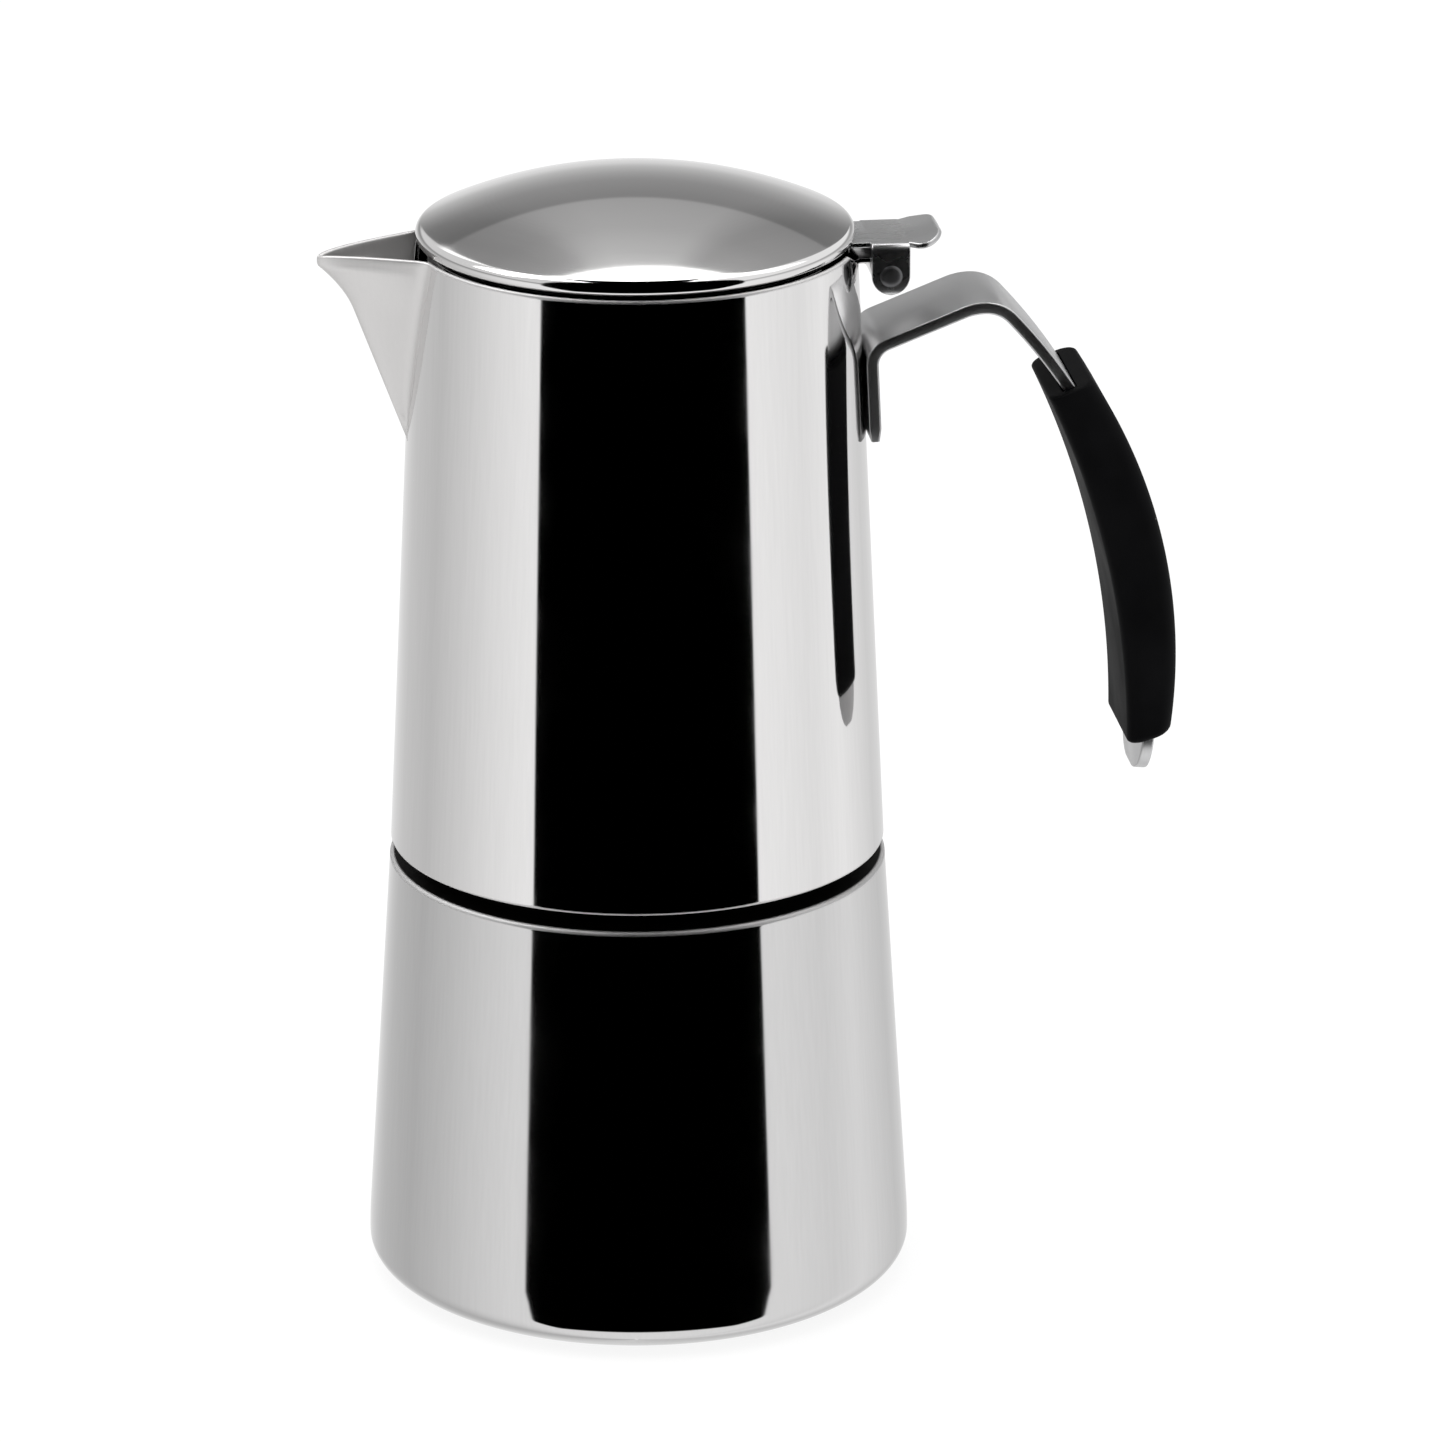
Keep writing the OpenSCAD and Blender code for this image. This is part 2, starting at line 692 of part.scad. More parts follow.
// Grip: rounded rectangles between an inner and an outer line in the handle's plane
grip_outer_start = [81.2, 169.9];
grip_outer_heading = -57;
grip_outer_l = 70.4;
grip_outer_turn = -40.4;
grip_inner_start = [73.1, 166.9];
grip_inner_heading = -64;
grip_inner_l = 69;
grip_inner_turn = -26;
grip_rings = 18;
grip_corner = 3;
grip_corner_points = 5;
module grip_blank() {
    rows = [for (k = [0 : grip_rings])
        let (t = k / grip_rings,
             a = step_end(grip_inner_start, grip_inner_heading, grip_inner_l * t, grip_inner_turn * t),
             b = step_end(grip_outer_start, grip_outer_heading, grip_outer_l * t, grip_outer_turn * t),
             mid = (a + b) / 2,
             dir = (b - a) / norm(b - a),
             half_t = norm(b - a) / 2 - grip_corner,
             half_w = grip_w / 2 - grip_corner)
        [for (c = [[1, 1, 0], [-1, 1, 90], [-1, -1, 180], [1, -1, 270]])
            for (i = [0 : grip_corner_points - 1])
                let (ang = c[2] + 90 * i / (grip_corner_points - 1),
                     u = c[0] * half_t + grip_corner * cos(ang),
                     v = c[1] * half_w + grip_corner * sin(ang),
                     p = mid + u * dir)
                [p[0], v, p[1]]]];
    n = 4 * grip_corner_points;
    top = grip_rings * n;
    faces = concat(
        [for (k = [0 : grip_rings - 1], i = [0 : n - 1]) let (a = k * n + i, b = k * n + (i + 1) % n)
            each [[a, b, b + n], [a, b + n, a + n]]],
        [for (i = [1 : n - 2]) each [[0, i + 1, i], [top, top + i, top + i + 1]]]);
    polyhedron([for (row = rows) each row], faces);
}

module handle_grip() {
    color(black_plastic) difference() {
        grip_blank();
        strap_blank();
    }
}

boiler_shell();
boiler_neck();
valve_body();
valve_cap();
valve_poppet();
valve_spring();
valve_washer();
valve_nut();
funnel_cup();
funnel_screen();
funnel_stem();
gasket();
filter_plate();
collector_floor();
collector_thread_ring();
collector_shell();
spout();
column_tube();
column_cap();
hinge_bracket();
hinge_pin();
lid_dome();
lid_ring();
lid_lever();
handle_strap();
handle_grip();
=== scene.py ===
"""Looks for a polished steel stovetop espresso maker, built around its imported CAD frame.

Frame as in the CAD: metres, origin under the middle of the base, +Z up the axis,
handle towards +X, spout towards -X, safety valve towards +Y. Shapes below are written
in millimetres and scaled once, in piece().
"""

import math

import bmesh
import bpy
from mathutils import Matrix, Vector


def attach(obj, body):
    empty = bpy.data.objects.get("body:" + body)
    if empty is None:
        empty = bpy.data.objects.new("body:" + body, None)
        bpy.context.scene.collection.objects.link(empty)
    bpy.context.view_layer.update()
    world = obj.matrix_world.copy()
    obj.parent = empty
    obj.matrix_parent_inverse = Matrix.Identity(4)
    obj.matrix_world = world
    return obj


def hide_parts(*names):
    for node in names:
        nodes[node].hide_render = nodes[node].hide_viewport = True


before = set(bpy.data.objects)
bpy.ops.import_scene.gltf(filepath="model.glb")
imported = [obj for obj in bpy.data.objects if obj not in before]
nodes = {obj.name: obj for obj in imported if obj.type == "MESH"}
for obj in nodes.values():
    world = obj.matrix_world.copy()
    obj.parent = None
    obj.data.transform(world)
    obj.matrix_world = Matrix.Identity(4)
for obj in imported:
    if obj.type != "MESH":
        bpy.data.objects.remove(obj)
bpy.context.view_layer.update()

MM = 0.001
FULL_TURN = 2 * math.pi


# ---------------------------------------------------------------- meshes


def mesh_data(name, verts, faces, sharp_deg):
    mesh = bpy.data.meshes.new(name)
    mesh.from_pydata([[c * MM for c in v] for v in verts], [], faces)
    bm = bmesh.new()
    bm.from_mesh(mesh)
    bmesh.ops.remove_doubles(bm, verts=bm.verts, dist=1e-7)
    bmesh.ops.dissolve_degenerate(bm, edges=bm.edges, dist=1e-8)
    bmesh.ops.recalc_face_normals(bm, faces=bm.faces)
    bm.to_mesh(mesh)
    bm.free()
    mesh.shade_smooth()
    mesh.set_sharp_from_angle(angle=math.radians(sharp_deg))
    return mesh


def piece(name, parts, body, material, replaced, sharp_deg=32):
    """One object from (verts, faces) parts in millimetres, riding on a body for CAD nodes."""
    verts, faces = [], []
    for part_verts, part_faces in parts:
        base = len(verts)
        verts += [tuple(v) for v in part_verts]
        faces += [tuple(base + i for i in f) for f in part_faces]
    obj = bpy.data.objects.new(name, mesh_data(name, verts, faces, sharp_deg))
    bpy.context.scene.collection.objects.link(obj)
    obj.data.materials.append(material)
    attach(obj, body)
    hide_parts(*replaced)
    return obj


def lerp(a, b, t):
    return a + (b - a) * t


def smoothstep(t):
    t = min(1.0, max(0.0, t))
    return t * t * (3 - 2 * t)


def arc(cx, cy, r, start_deg, end_deg, steps):
    """Points along an arc, both ends included."""
    angles = [math.radians(lerp(start_deg, end_deg, i / steps)) for i in range(steps + 1)]
    return [(cx + r * math.cos(a), cy + r * math.sin(a)) for a in angles]


def rounded(points, steps=6):
    """Closed outline from (x, y, corner radius) points."""
    out = []
    count = len(points)
    for i, (x, y, r) in enumerate(points):
        if r == 0:
            out.append((x, y))
            continue
        p = Vector((x, y))
        u = (Vector(points[i - 1][:2]) - p).normalized()
        v = (Vector(points[(i + 1) % count][:2]) - p).normalized()
        half = u.angle(v) / 2
        centre = p + (u + v).normalized() * (r / math.sin(half))
        first = p + u * (r / math.tan(half)) - centre
        last = p + v * (r / math.tan(half)) - centre
        start = math.atan2(first.y, first.x)
        turn = (math.atan2(last.y, last.x) - start + math.pi) % FULL_TURN - math.pi
        for k in range(steps + 1):
            a = start + turn * k / steps
            out.append((centre.x + r * math.cos(a), centre.y + r * math.sin(a)))
    return out


def supported(outline, reach=0.12, closed=True):
    """Adds a point close to both ends of each long side, so that a round edge keeps its own shading."""
    out = []
    last = len(outline) if closed else len(outline) - 1
    for i in range(len(outline)):
        a = Vector(outline[i])
        out.append(tuple(a))
        if i >= last:
            continue
        b = Vector(outline[(i + 1) % len(outline)])
        length = (b - a).length
        if length > 6 * reach:
            out.append(tuple(a.lerp(b, reach / length)))
            out.append(tuple(b.lerp(a, reach / length)))
    return out


def even_angles(count):
    return [FULL_TURN * i / count for i in range(count)]


def lathe(outline, angles=None, on_axis=False):
    """Turns an outline of (radius, height) round the axis; on_axis leaves its first-last side open."""
    angles = angles or even_angles(224)
    n = len(outline)
    verts = [(r * math.cos(a), r * math.sin(a), z) for a in angles for r, z in outline]
    sides = n - 1 if on_axis else n
    faces = []
    for i in range(len(angles)):
        j = (i + 1) % len(angles)
        for k in range(sides):
            m = (k + 1) % n
            faces.append((i * n + k, j * n + k, j * n + m, i * n + m))
    return verts, faces


def moved(part, matrix):
    return [tuple(matrix @ Vector(v)) for v in part[0]], part[1]


def loft(rings, closed_ends=True):
    """Skin over rings of equal length."""
    n = len(rings[0])
    verts = [v for ring in rings for v in ring]
    faces = []
    for k in range(len(rings) - 1):
        for i in range(n):
            j = (i + 1) % n
            faces.append((k * n + i, k * n + j, (k + 1) * n + j, (k + 1) * n + i))
    if closed_ends:
        faces.append(tuple(range(n)))
        faces.append(tuple((len(rings) - 1) * n + i for i in range(n)))
    return verts, faces


def ribbon(stations, thickness, edge, end_round=0.0):
    """Strip of metal. A station is (centre, along, across, half width); edges have a small radius."""
    rings = []
    count = len(stations)
    for k, (centre, along, across, half_w) in enumerate(stations):
        across = Vector(across).normalized()
        up = Vector(along).cross(across).normalized()
        shrink = 0.0
        if end_round and k in (0, count - 1):
            shrink = end_round
        half_t = thickness / 2 - shrink
        half = max(half_w - shrink, 0.05)
        e = min(edge, half_t * 0.95, half * 0.95)
        outline = rounded(
            [(-half, -half_t, e), (half, -half_t, e), (half, half_t, e), (-half, half_t, e)], 3
        )
        rings.append([Vector(centre) + across * x + up * y for x, y in outline])
    return loft(rings)


def helix_ridge(start_z, turns, wall_r, crest_r, pitch, root_w, crest_w, per_turn=90):
    """Thread ridge that climbs counter-clockwise and runs out at both ends."""
    count = int(turns * per_turn)
    run_out = per_turn / 9
    rings = []
    for i in range(count + 1):
        a = FULL_TURN * i / per_turn
        z = start_z + pitch * i / per_turn
        full = min(1, (i + 1) / run_out, (count - i + 1) / run_out)
        crest = lerp(wall_r, crest_r, full)
        section = [(wall_r, -root_w / 2)]
        section += [(crest, -crest_w / 2), (crest, crest_w / 2), (wall_r, root_w / 2)]
        rings.append([(r * math.cos(a), r * math.sin(a), z + dz) for r, dz in section])
    return loft(rings)


# ---------------------------------------------------------------- materials


class Nodes:
    """Small wrapper for building a shader tree."""

    def __init__(self, tree):
        self.tree = tree
        tree.nodes.clear()

    def add(self, kind, **inputs):
        node = self.tree.nodes.new(kind)
        for key, value in inputs.items():
            setattr(node, key, value)
        return node

    def link(self, out, into):
        self.tree.links.new(out, into)

    def math(self, operation, a, b=None, clamp=False):
        node = self.add("ShaderNodeMath", operation=operation, use_clamp=clamp)
        for i, value in enumerate((a, b)):
            if value is None:
                continue
            if isinstance(value, (int, float)):
                node.inputs[i].default_value = value
            else:
                self.link(value, node.inputs[i])
        return node.outputs[0]

    def ramp(self, value, stops, interpolation="LINEAR"):
        node = self.add("ShaderNodeValToRGB")
        node.color_ramp.interpolation = interpolation
        elements = node.color_ramp.elements
        while len(elements) < len(stops):
            elements.new(0.5)
        for element, (position, level) in zip(elements, stops):
            element.position = position
            colour = level if isinstance(level, tuple) else (level, level, level)
            element.color = (*colour, 1)
        self.link(value, node.inputs[0])
        return node.outputs[0]

    def noise(self, vector, scale, detail=3.0, roughness=0.5):
        node = self.add("ShaderNodeTexNoise")
        node.inputs["Scale"].default_value = scale
        node.inputs["Detail"].default_value = detail
        node.inputs["Roughness"].default_value = roughness
        self.link(vector, node.inputs["Vector"])
        return node.outputs[0]

    def mapped(self, vector, scale):
        node = self.add("ShaderNodeMapping")
        node.inputs["Scale"].default_value = scale
        self.link(vector, node.inputs["Vector"])
        return node.outputs[0]


def new_material(name, colour, roughness, metallic=0.0):
    material = bpy.data.materials.new(name)
    material.use_nodes = True
    n = Nodes(material.node_tree)
    out = n.add("ShaderNodeOutputMaterial")
    shader = n.add("ShaderNodeBsdfPrincipled")
    shader.inputs["Base Color"].default_value = (*colour, 1)
    shader.inputs["Roughness"].default_value = roughness
    shader.inputs["Metallic"].default_value = metallic
    n.link(shader.outputs[0], out.inputs[0])
    place = n.add("ShaderNodeTexCoord").outputs["Object"]
    return material, n, shader, place


def bump(n, shader, height, strength, distance):
    node = n.add("ShaderNodeBump")
    node.inputs["Strength"].default_value = strength
    node.inputs["Distance"].default_value = distance
    n.link(height, node.inputs["Height"])
    n.link(node.outputs[0], shader.inputs["Normal"])


def within(n, value, low, high, soft):
    """1 between two levels, falling to 0 over soft outside them."""
    half = (high - low) / 2
    away = n.math("ABSOLUTE", n.math("SUBTRACT", value, (low + high) / 2))
    return n.math("SUBTRACT", 1.0, n.math("DIVIDE", n.math("SUBTRACT", away, half), soft), clamp=True)


def height_of(n, place):
    where = n.add("ShaderNodeSeparateXYZ")
    n.link(place, where.inputs[0])
    return where.outputs[2]


def steel(name, colour, smooth, dull, grain, grain_strength, turned=False, painted_shade_zone=None, edges=(), metal=1.0):
    """Stainless steel: fine polishing lines along grain, duller smudges and a faint tone change.

    painted_shade_zone is a (radius, low, high, colour) inside which the steel is darkened as painted shade. edges are
    the heights (low, high) of cut edges, which are left satin. A blasted finish scatters light, so metal is under 1.
    """
    material, n, shader, place = new_material(name, colour, smooth, metal)
    if turned:
        split = n.add("ShaderNodeSeparateXYZ")
        n.link(place, split.inputs[0])
        squares = n.math("MULTIPLY", split.outputs[0], split.outputs[0])
        squares = n.math("ADD", squares, n.math("MULTIPLY", split.outputs[1], split.outputs[1]))
        joined = n.add("ShaderNodeCombineXYZ")
        n.link(n.math("SQRT", squares), joined.inputs[0])
        lines_at = n.mapped(joined.outputs[0], (grain[0], 1, 1))
    else:
        lines_at = n.mapped(place, grain)
    lines = n.noise(lines_at, 1.0, 4.0, 0.6)
    smudges = n.noise(place, 45.0, 3.0, 0.55)
    spread = n.math("MULTIPLY", n.ramp(smudges, [(0.45, 0.0), (0.75, 1.0)]), dull - smooth)
    rough = n.math("ADD", n.math("MULTIPLY", lines, smooth * 0.5), n.math("ADD", spread, smooth * 0.75))
    for low, high in edges:
        rough = n.math("ADD", rough, n.math("MULTIPLY", within(n, height_of(n, place), low, high, 0.0003), 0.48))
    n.link(rough, shader.inputs["Roughness"])
    tone = n.ramp(lines, [(0.3, tuple(c * 0.965 for c in colour)), (0.7, colour)])
    # Painted shade: inside the zone the steel turns to the given dark colour, standing in for shade in the neck's
    # groove and for the rim's dark reflection under the lid's edge
    if painted_shade_zone:
        radius, low, high, dark = painted_shade_zone
        where = n.add("ShaderNodeSeparateXYZ")
        n.link(place, where.inputs[0])
        x, y, z = where.outputs
        reach = n.math("SQRT", n.math("ADD", n.math("MULTIPLY", x, x), n.math("MULTIPLY", y, y)))
        inside = n.math("MULTIPLY", within(n, z, low, high, 0.0002), within(n, reach, 0, radius, 0.0003))
        mix = n.add("ShaderNodeMix", data_type="RGBA")
        n.link(inside, mix.inputs["Factor"])
        n.link(tone, mix.inputs["A"])
        mix.inputs["B"].default_value = (*dark, 1)
        tone = mix.outputs["Result"]
    n.link(tone, shader.inputs["Base Color"])
    bump(n, shader, lines, grain_strength, 0.00002)
    return material


POLISHED = (0.805, 0.797, 0.795)
# Painted shade: the boiler uses a darker copy of the same polished steel, so the lower body reads darker than the
# upper pot
DARKER = (0.665, 0.66, 0.66)
SATIN = (0.60, 0.60, 0.605)
# Painted shade: the neck, shoulder and thread ring go near black in the groove between the boiler and the upper pot
GROOVE_SHADE = (0.0443, 0.0801, 0.0850, (0.012, 0.011, 0.01))
# Painted reflection: the lid's steel is darkened to grey round its lower edge, standing in for the rim's reflection
UNDER_LID = (0.0400, 0.1900, 0.1966, (0.25, 0.247, 0.246))
WALL_EDGES = [(0.0830, 0.0842), (0.1953, 0.1970)]
mirror_steel = steel("mirror_steel", POLISHED, 0.04, 0.08, (1400, 1400, 18), 0.03)
wall_steel = steel("wall_steel", POLISHED, 0.04, 0.08, (1400, 1400, 18), 0.03, edges=WALL_EDGES)
boiler_steel = steel("boiler_steel", DARKER, 0.05, 0.09, (1400, 1400, 18), 0.03, painted_shade_zone=GROOVE_SHADE, edges=[(0.0802, 0.0820)])
spout_steel = steel("spout_steel", (0.70, 0.69, 0.685), 0.34, 0.4, (1400, 1400, 60), 0.05, metal=0.72)
lid_steel = steel("lid_steel", POLISHED, 0.06, 0.1, (2200, 0, 0), 0.04, turned=True, painted_shade_zone=UNDER_LID)
satin_steel = steel("satin_steel", (0.64, 0.64, 0.645), 0.34, 0.42, (120, 1800, 120), 0.1)
pressed_steel = steel("pressed_steel", SATIN, 0.22, 0.3, (900, 900, 900), 0.1)
lever_steel = steel("lever_steel", (0.66, 0.66, 0.665), 0.27, 0.33, (120, 1800, 120), 0.03)
rivet_steel = steel("rivet_steel", (0.20, 0.20, 0.205), 0.45, 0.5, (900, 900, 900), 0.1)
turned_steel = steel("turned_steel", SATIN, 0.2, 0.28, (1800, 0, 0), 0.2, turned=True, painted_shade_zone=GROOVE_SHADE)


def black_plastic():
    material, n, shader, place = new_material("grip_plastic", (0.005, 0.005, 0.0055), 0.6)
    shader.inputs["Specular IOR Level"].default_value = 0.04
    grain = n.noise(place, 2600.0, 2.0, 0.6)
    clouds = n.noise(place, 70.0, 3.0, 0.5)
    specks = n.add("ShaderNodeTexVoronoi")
    specks.inputs["Scale"].default_value = 420.0
    n.link(place, specks.inputs["Vector"])
    dots = n.ramp(specks.outputs["Distance"], [(0.05, 1.0), (0.09, 0.0)])
    chosen = n.add("ShaderNodeSeparateColor")
    n.link(specks.outputs["Color"], chosen.inputs[0])
    rare = n.math("GREATER_THAN", chosen.outputs[0], 0.985)
    dust = n.math("MULTIPLY", dots, rare)
    base = n.ramp(clouds, [(0.3, (0.0025, 0.0025, 0.0028)), (0.7, (0.0045, 0.0045, 0.005))])
    mix = n.add("ShaderNodeMix", data_type="RGBA")
    n.link(dust, mix.inputs["Factor"])
    n.link(base, mix.inputs["A"])
    mix.inputs["B"].default_value = (0.16, 0.16, 0.16, 1)
    n.link(mix.outputs["Result"], shader.inputs["Base Color"])
    n.link(n.ramp(clouds, [(0.3, 0.5), (0.7, 0.62)]), shader.inputs["Roughness"])
    bump(n, shader, grain, 0.25, 0.00005)
    return material


def brass():
    colour = (0.66, 0.46, 0.18)
    material, n, shader, place = new_material("turned_brass", colour, 0.24, 1.0)
    tarnish = n.noise(place, 160.0, 4.0, 0.6)
    tone = n.ramp(tarnish, [(0.35, (0.5, 0.33, 0.12)), (0.65, colour)])
    n.link(tone, shader.inputs["Base Color"])
    n.link(n.ramp(tarnish, [(0.3, 0.2), (0.7, 0.34)]), shader.inputs["Roughness"])
    bump(n, shader, n.noise(place, 1500.0), 0.1, 0.00003)
    return material


def silicone():
    material, n, shader, place = new_material("pale_silicone", (0.8, 0.79, 0.75), 0.5)
    soft = n.noise(place, 120.0)
    n.link(n.ramp(soft, [(0.3, (0.74, 0.73, 0.69)), (0.7, (0.82, 0.81, 0.78))]), shader.inputs["Base Color"])
    n.link(n.ramp(soft, [(0.3, 0.42), (0.7, 0.55)]), shader.inputs["Roughness"])
    bump(n, shader, n.noise(place, 900.0), 0.1, 0.00005)
    return material


grip_plastic = black_plastic()
turned_brass = brass()
pale_silicone = silicone()


# ---------------------------------------------------------------- boiler

SHEET = 0.9
BASE_R, BASE_ROUND_H, FOOT_R, BASE_T = 50.0, 6.4, 39.0, 1.6
SHOULDER_R, SHOULDER_Z, SHOULDER_EDGE = 45.15, 80.8, 0.8
NECK_R, NECK_WALL, NECK_TOP, NECK_LIP_R, NECK_FOOT_R = 40.4, 1.2, 91.6, 36.3, 43.0
VALVE_Z = 54.0
BOILER_LEAN = math.atan((BASE_R - SHOULDER_R) / (SHOULDER_Z - BASE_ROUND_H))


def boiler_r(z):
    return lerp(BASE_R, SHOULDER_R, (z - BASE_ROUND_H) / (SHOULDER_Z - BASE_ROUND_H))


UPRIGHT_FROM = 12.0


def boiler_wall_r(z):
    """Outer radius: the leaning wall turns upright just above the base's corner."""
    below = min(0.0, z - UPRIGHT_FROM)
    return boiler_r(z) - math.tan(BOILER_LEAN) * below**2 / (2 * (UPRIGHT_FROM - BASE_ROUND_H))


def corner(r, h, low, from_deg, to_deg, steps):
    """Elliptical round corner of the base."""
    angles = [math.radians(lerp(from_deg, to_deg, i / steps)) for i in range(steps + 1)]
    return [(FOOT_R + (r - FOOT_R) * math.sin(a), low + (h - low) * (1 - math.cos(a))) for a in angles]


valve_place = (
    Matrix.Translation((0, boiler_r(VALVE_Z), VALVE_Z))
    @ Matrix.Rotation(-math.pi / 2 + BOILER_LEAN, 4, "X")
)
valve_place_back = valve_place.inverted()
PAD_R, PAD_FADE, PAD_OUT = 8.4, 1.6, 0.25


def press_pad(v):
    """Flattens the wall round the valve into a low round pad."""
    local = valve_place_back @ Vector(v)
    d = math.hypot(local.x, local.y)
    if abs(local.z) > 3 or d > PAD_R + PAD_FADE:
        return v
    local.z = lerp(PAD_OUT, local.z, smoothstep((d - PAD_R) / PAD_FADE))
    return tuple(valve_place @ local)


def boiler():
    wall_top = SHOULDER_Z - SHOULDER_EDGE
    outer = [(0.0, 0.0), (20.0, 0.0)] + corner(boiler_wall_r(BASE_ROUND_H), BASE_ROUND_H, 0.0, 0, 90, 45)
    low = outer[-1][1]
    pad_low, pad_high = VALVE_Z - 11, VALVE_Z + 11
    heights = [lerp(low, UPRIGHT_FROM, i / 16) for i in range(1, 17)] + [16, 26, 36]
    heights += [lerp(pad_low, pad_high, i / 44) for i in range(45)]
    heights += [72, 77, wall_top - 0.3]
    outer += [(boiler_wall_r(z), z) for z in heights]
    outer_count = len(outer)
    lean = math.degrees(BOILER_LEAN)
    edge_r = boiler_r(wall_top + SHOULDER_EDGE * math.sin(BOILER_LEAN)) - SHOULDER_EDGE * math.cos(BOILER_LEAN)
    top = arc(edge_r, wall_top, SHOULDER_EDGE, lean, 90, 8)
    shoulder = [(top[-1][0] - 0.12, SHOULDER_Z), (NECK_R, SHOULDER_Z), (NECK_R, SHOULDER_Z - SHEET)]
    inner = [(boiler_r(SHOULDER_Z) - SHEET, SHOULDER_Z - SHEET)]
    inner += [(r, z) for r, z in reversed(corner(BASE_R - SHEET, BASE_ROUND_H, BASE_T, 0, 90, 16))]
    outline = outer + top + shoulder + inner + [(0.0, BASE_T)]
    coarse = [math.radians(a * 1.5) for a in range(240) if not 76 < a * 1.5 < 104]
    fine = [math.radians(76 + 0.5 * i) for i in range(57)]
    verts, faces = lathe(outline, sorted(coarse + fine), on_axis=True)
    n = len(outline)
    verts = [press_pad(v) if i % n < outer_count else v for i, v in enumerate(verts)]
    return piece(
        "boiler_skin", [(verts, faces)], "boiler", boiler_steel, ["boiler_shell"]
    )


def neck():
    under = SHOULDER_Z - SHEET
    in_r = NECK_R - NECK_WALL
    outline = supported(
        rounded(
            [
                (in_r, under - 1, 0), (NECK_FOOT_R, under - 1, 0), (NECK_FOOT_R, under, 0),
                (NECK_R, under, 0), (NECK_R, NECK_TOP, 0.5), (NECK_LIP_R, NECK_TOP, 0.3),
                (NECK_LIP_R, NECK_TOP - 1, 0.3), (in_r, NECK_TOP - 1, 0),
            ],
            4,
        )
    )
    thread = helix_ridge(84.4, 1.5, NECK_R - NECK_WALL / 2, 41.6, 4, 1.7, 0.9)
    return piece(
        "boiler_neck_thread", [lathe(outline), thread], "boiler", turned_steel, ["boiler_neck"]
    )


def hexagon(across_flats, low, high, chamfer):
    """Hexagonal bar with its corners turned down at both ends, as on a nut."""
    corner_r = across_flats / 2 / math.cos(math.pi / 6)
    rings = []
    for z, cut in ((low, chamfer), (low + chamfer * 0.55, 0), (high - chamfer * 0.55, 0), (high, chamfer)):
        ring = []
        for i in range(72):
            a = FULL_TURN * i / 72
            side = (a + math.pi / 6) % (math.pi / 3) - math.pi / 6
            r = min(across_flats / 2 / math.cos(side), corner_r - cut)
            ring.append((r * math.cos(a), r * math.sin(a), z))
        rings.append(ring)
    return loft(rings)


def valve():
    shank = rounded([(0.01, -6, 0), (4.8, -6, 0.4), (4.8, 2, 0), (0.01, 2, 0)], 4)
    rim = rounded([(2.9, 5.6, 0), (4.8, 5.6, 0), (4.8, 9.2, 0.6), (2.9, 9.2, 0.35)], 5)
    seat = rounded([(0.01, 5.4, 0), (4.0, 5.4, 0), (4.0, 5.8, 0), (0.01, 5.8, 0)])
    body = [lathe(shank, even_angles(64)), hexagon(13, 1.45, 6.05, 0.75)]
    body += [lathe(rim, even_angles(96)), lathe(seat, even_angles(48))]
    cap = rounded([(0.95, 8.0, 0), (2.9, 8.0, 0), (2.9, 9.0, 0.15), (0.95, 9.0, 0.2)])
    stem = rounded([(0.0, 1.0, 0), (2.5, 1.0, 0.1), (2.5, 1.8, 0.1), (0.9, 1.8, 0), (0.9, 9.8, 0.4), (0.0, 9.8, 0)])
    washer = rounded([(4.8, PAD_OUT, 0), (7.8, PAD_OUT, 0), (7.8, 1.45, 0.5), (4.8, 1.45, 0)])
    for name, parts, on, slot, material, node in (
        ("valve_hex_body", body, "boiler", "brass", turned_brass, "valve_body"),
        ("valve_end_cap", [lathe(cap, even_angles(64))], "boiler", "brass", turned_brass, "valve_cap"),
        ("valve_plunger_stem", [lathe(stem, even_angles(40), on_axis=True)], "valve_plunger",
         "satin_steel", pressed_steel, "valve_poppet"),
        ("valve_seal_washer", [lathe(washer, even_angles(96))], "boiler", "silicone", pale_silicone,
         "valve_washer"),
    ):
        piece(name, [moved(p, valve_place) for p in parts], on, material, [node])


# ---------------------------------------------------------------- collector

COLLECTOR_R, COLLECTOR_Z, RIM_R, RIM_Z = 44.95, 83.9, 39.6, 195.75
SEAT_Z = 95.7
WINDOW_HALF_W, WINDOW_LOW = 10.4, 167.0
HINGE_X, HINGE_Z = 44.8, 189.9
NOTCH_FLOOR, NOTCH_SLOPE_Z = 192.0, 193.2
NOTCH_HALF_W, NOTCH_RIM_HALF_W = 9.6, 16.0


def wall_r(z):
    return lerp(COLLECTOR_R, RIM_R, (z - COLLECTOR_Z) / (RIM_Z - COLLECTOR_Z))


def wall_top(a):
    """Height of the wall's upper edge at an angle: it dips at the hinge and opens behind the spout."""
    y = abs(RIM_R * math.sin(a))
    if math.cos(a) < 0:
        return min(RIM_Z, WINDOW_LOW + (RIM_Z + 1 - WINDOW_LOW) * y / WINDOW_HALF_W)
    if y < NOTCH_HALF_W:
        return NOTCH_FLOOR
    if y < NOTCH_RIM_HALF_W:
        return lerp(NOTCH_SLOPE_Z, RIM_Z, (y - NOTCH_HALF_W) / (NOTCH_RIM_HALF_W - NOTCH_HALF_W))
    return RIM_Z


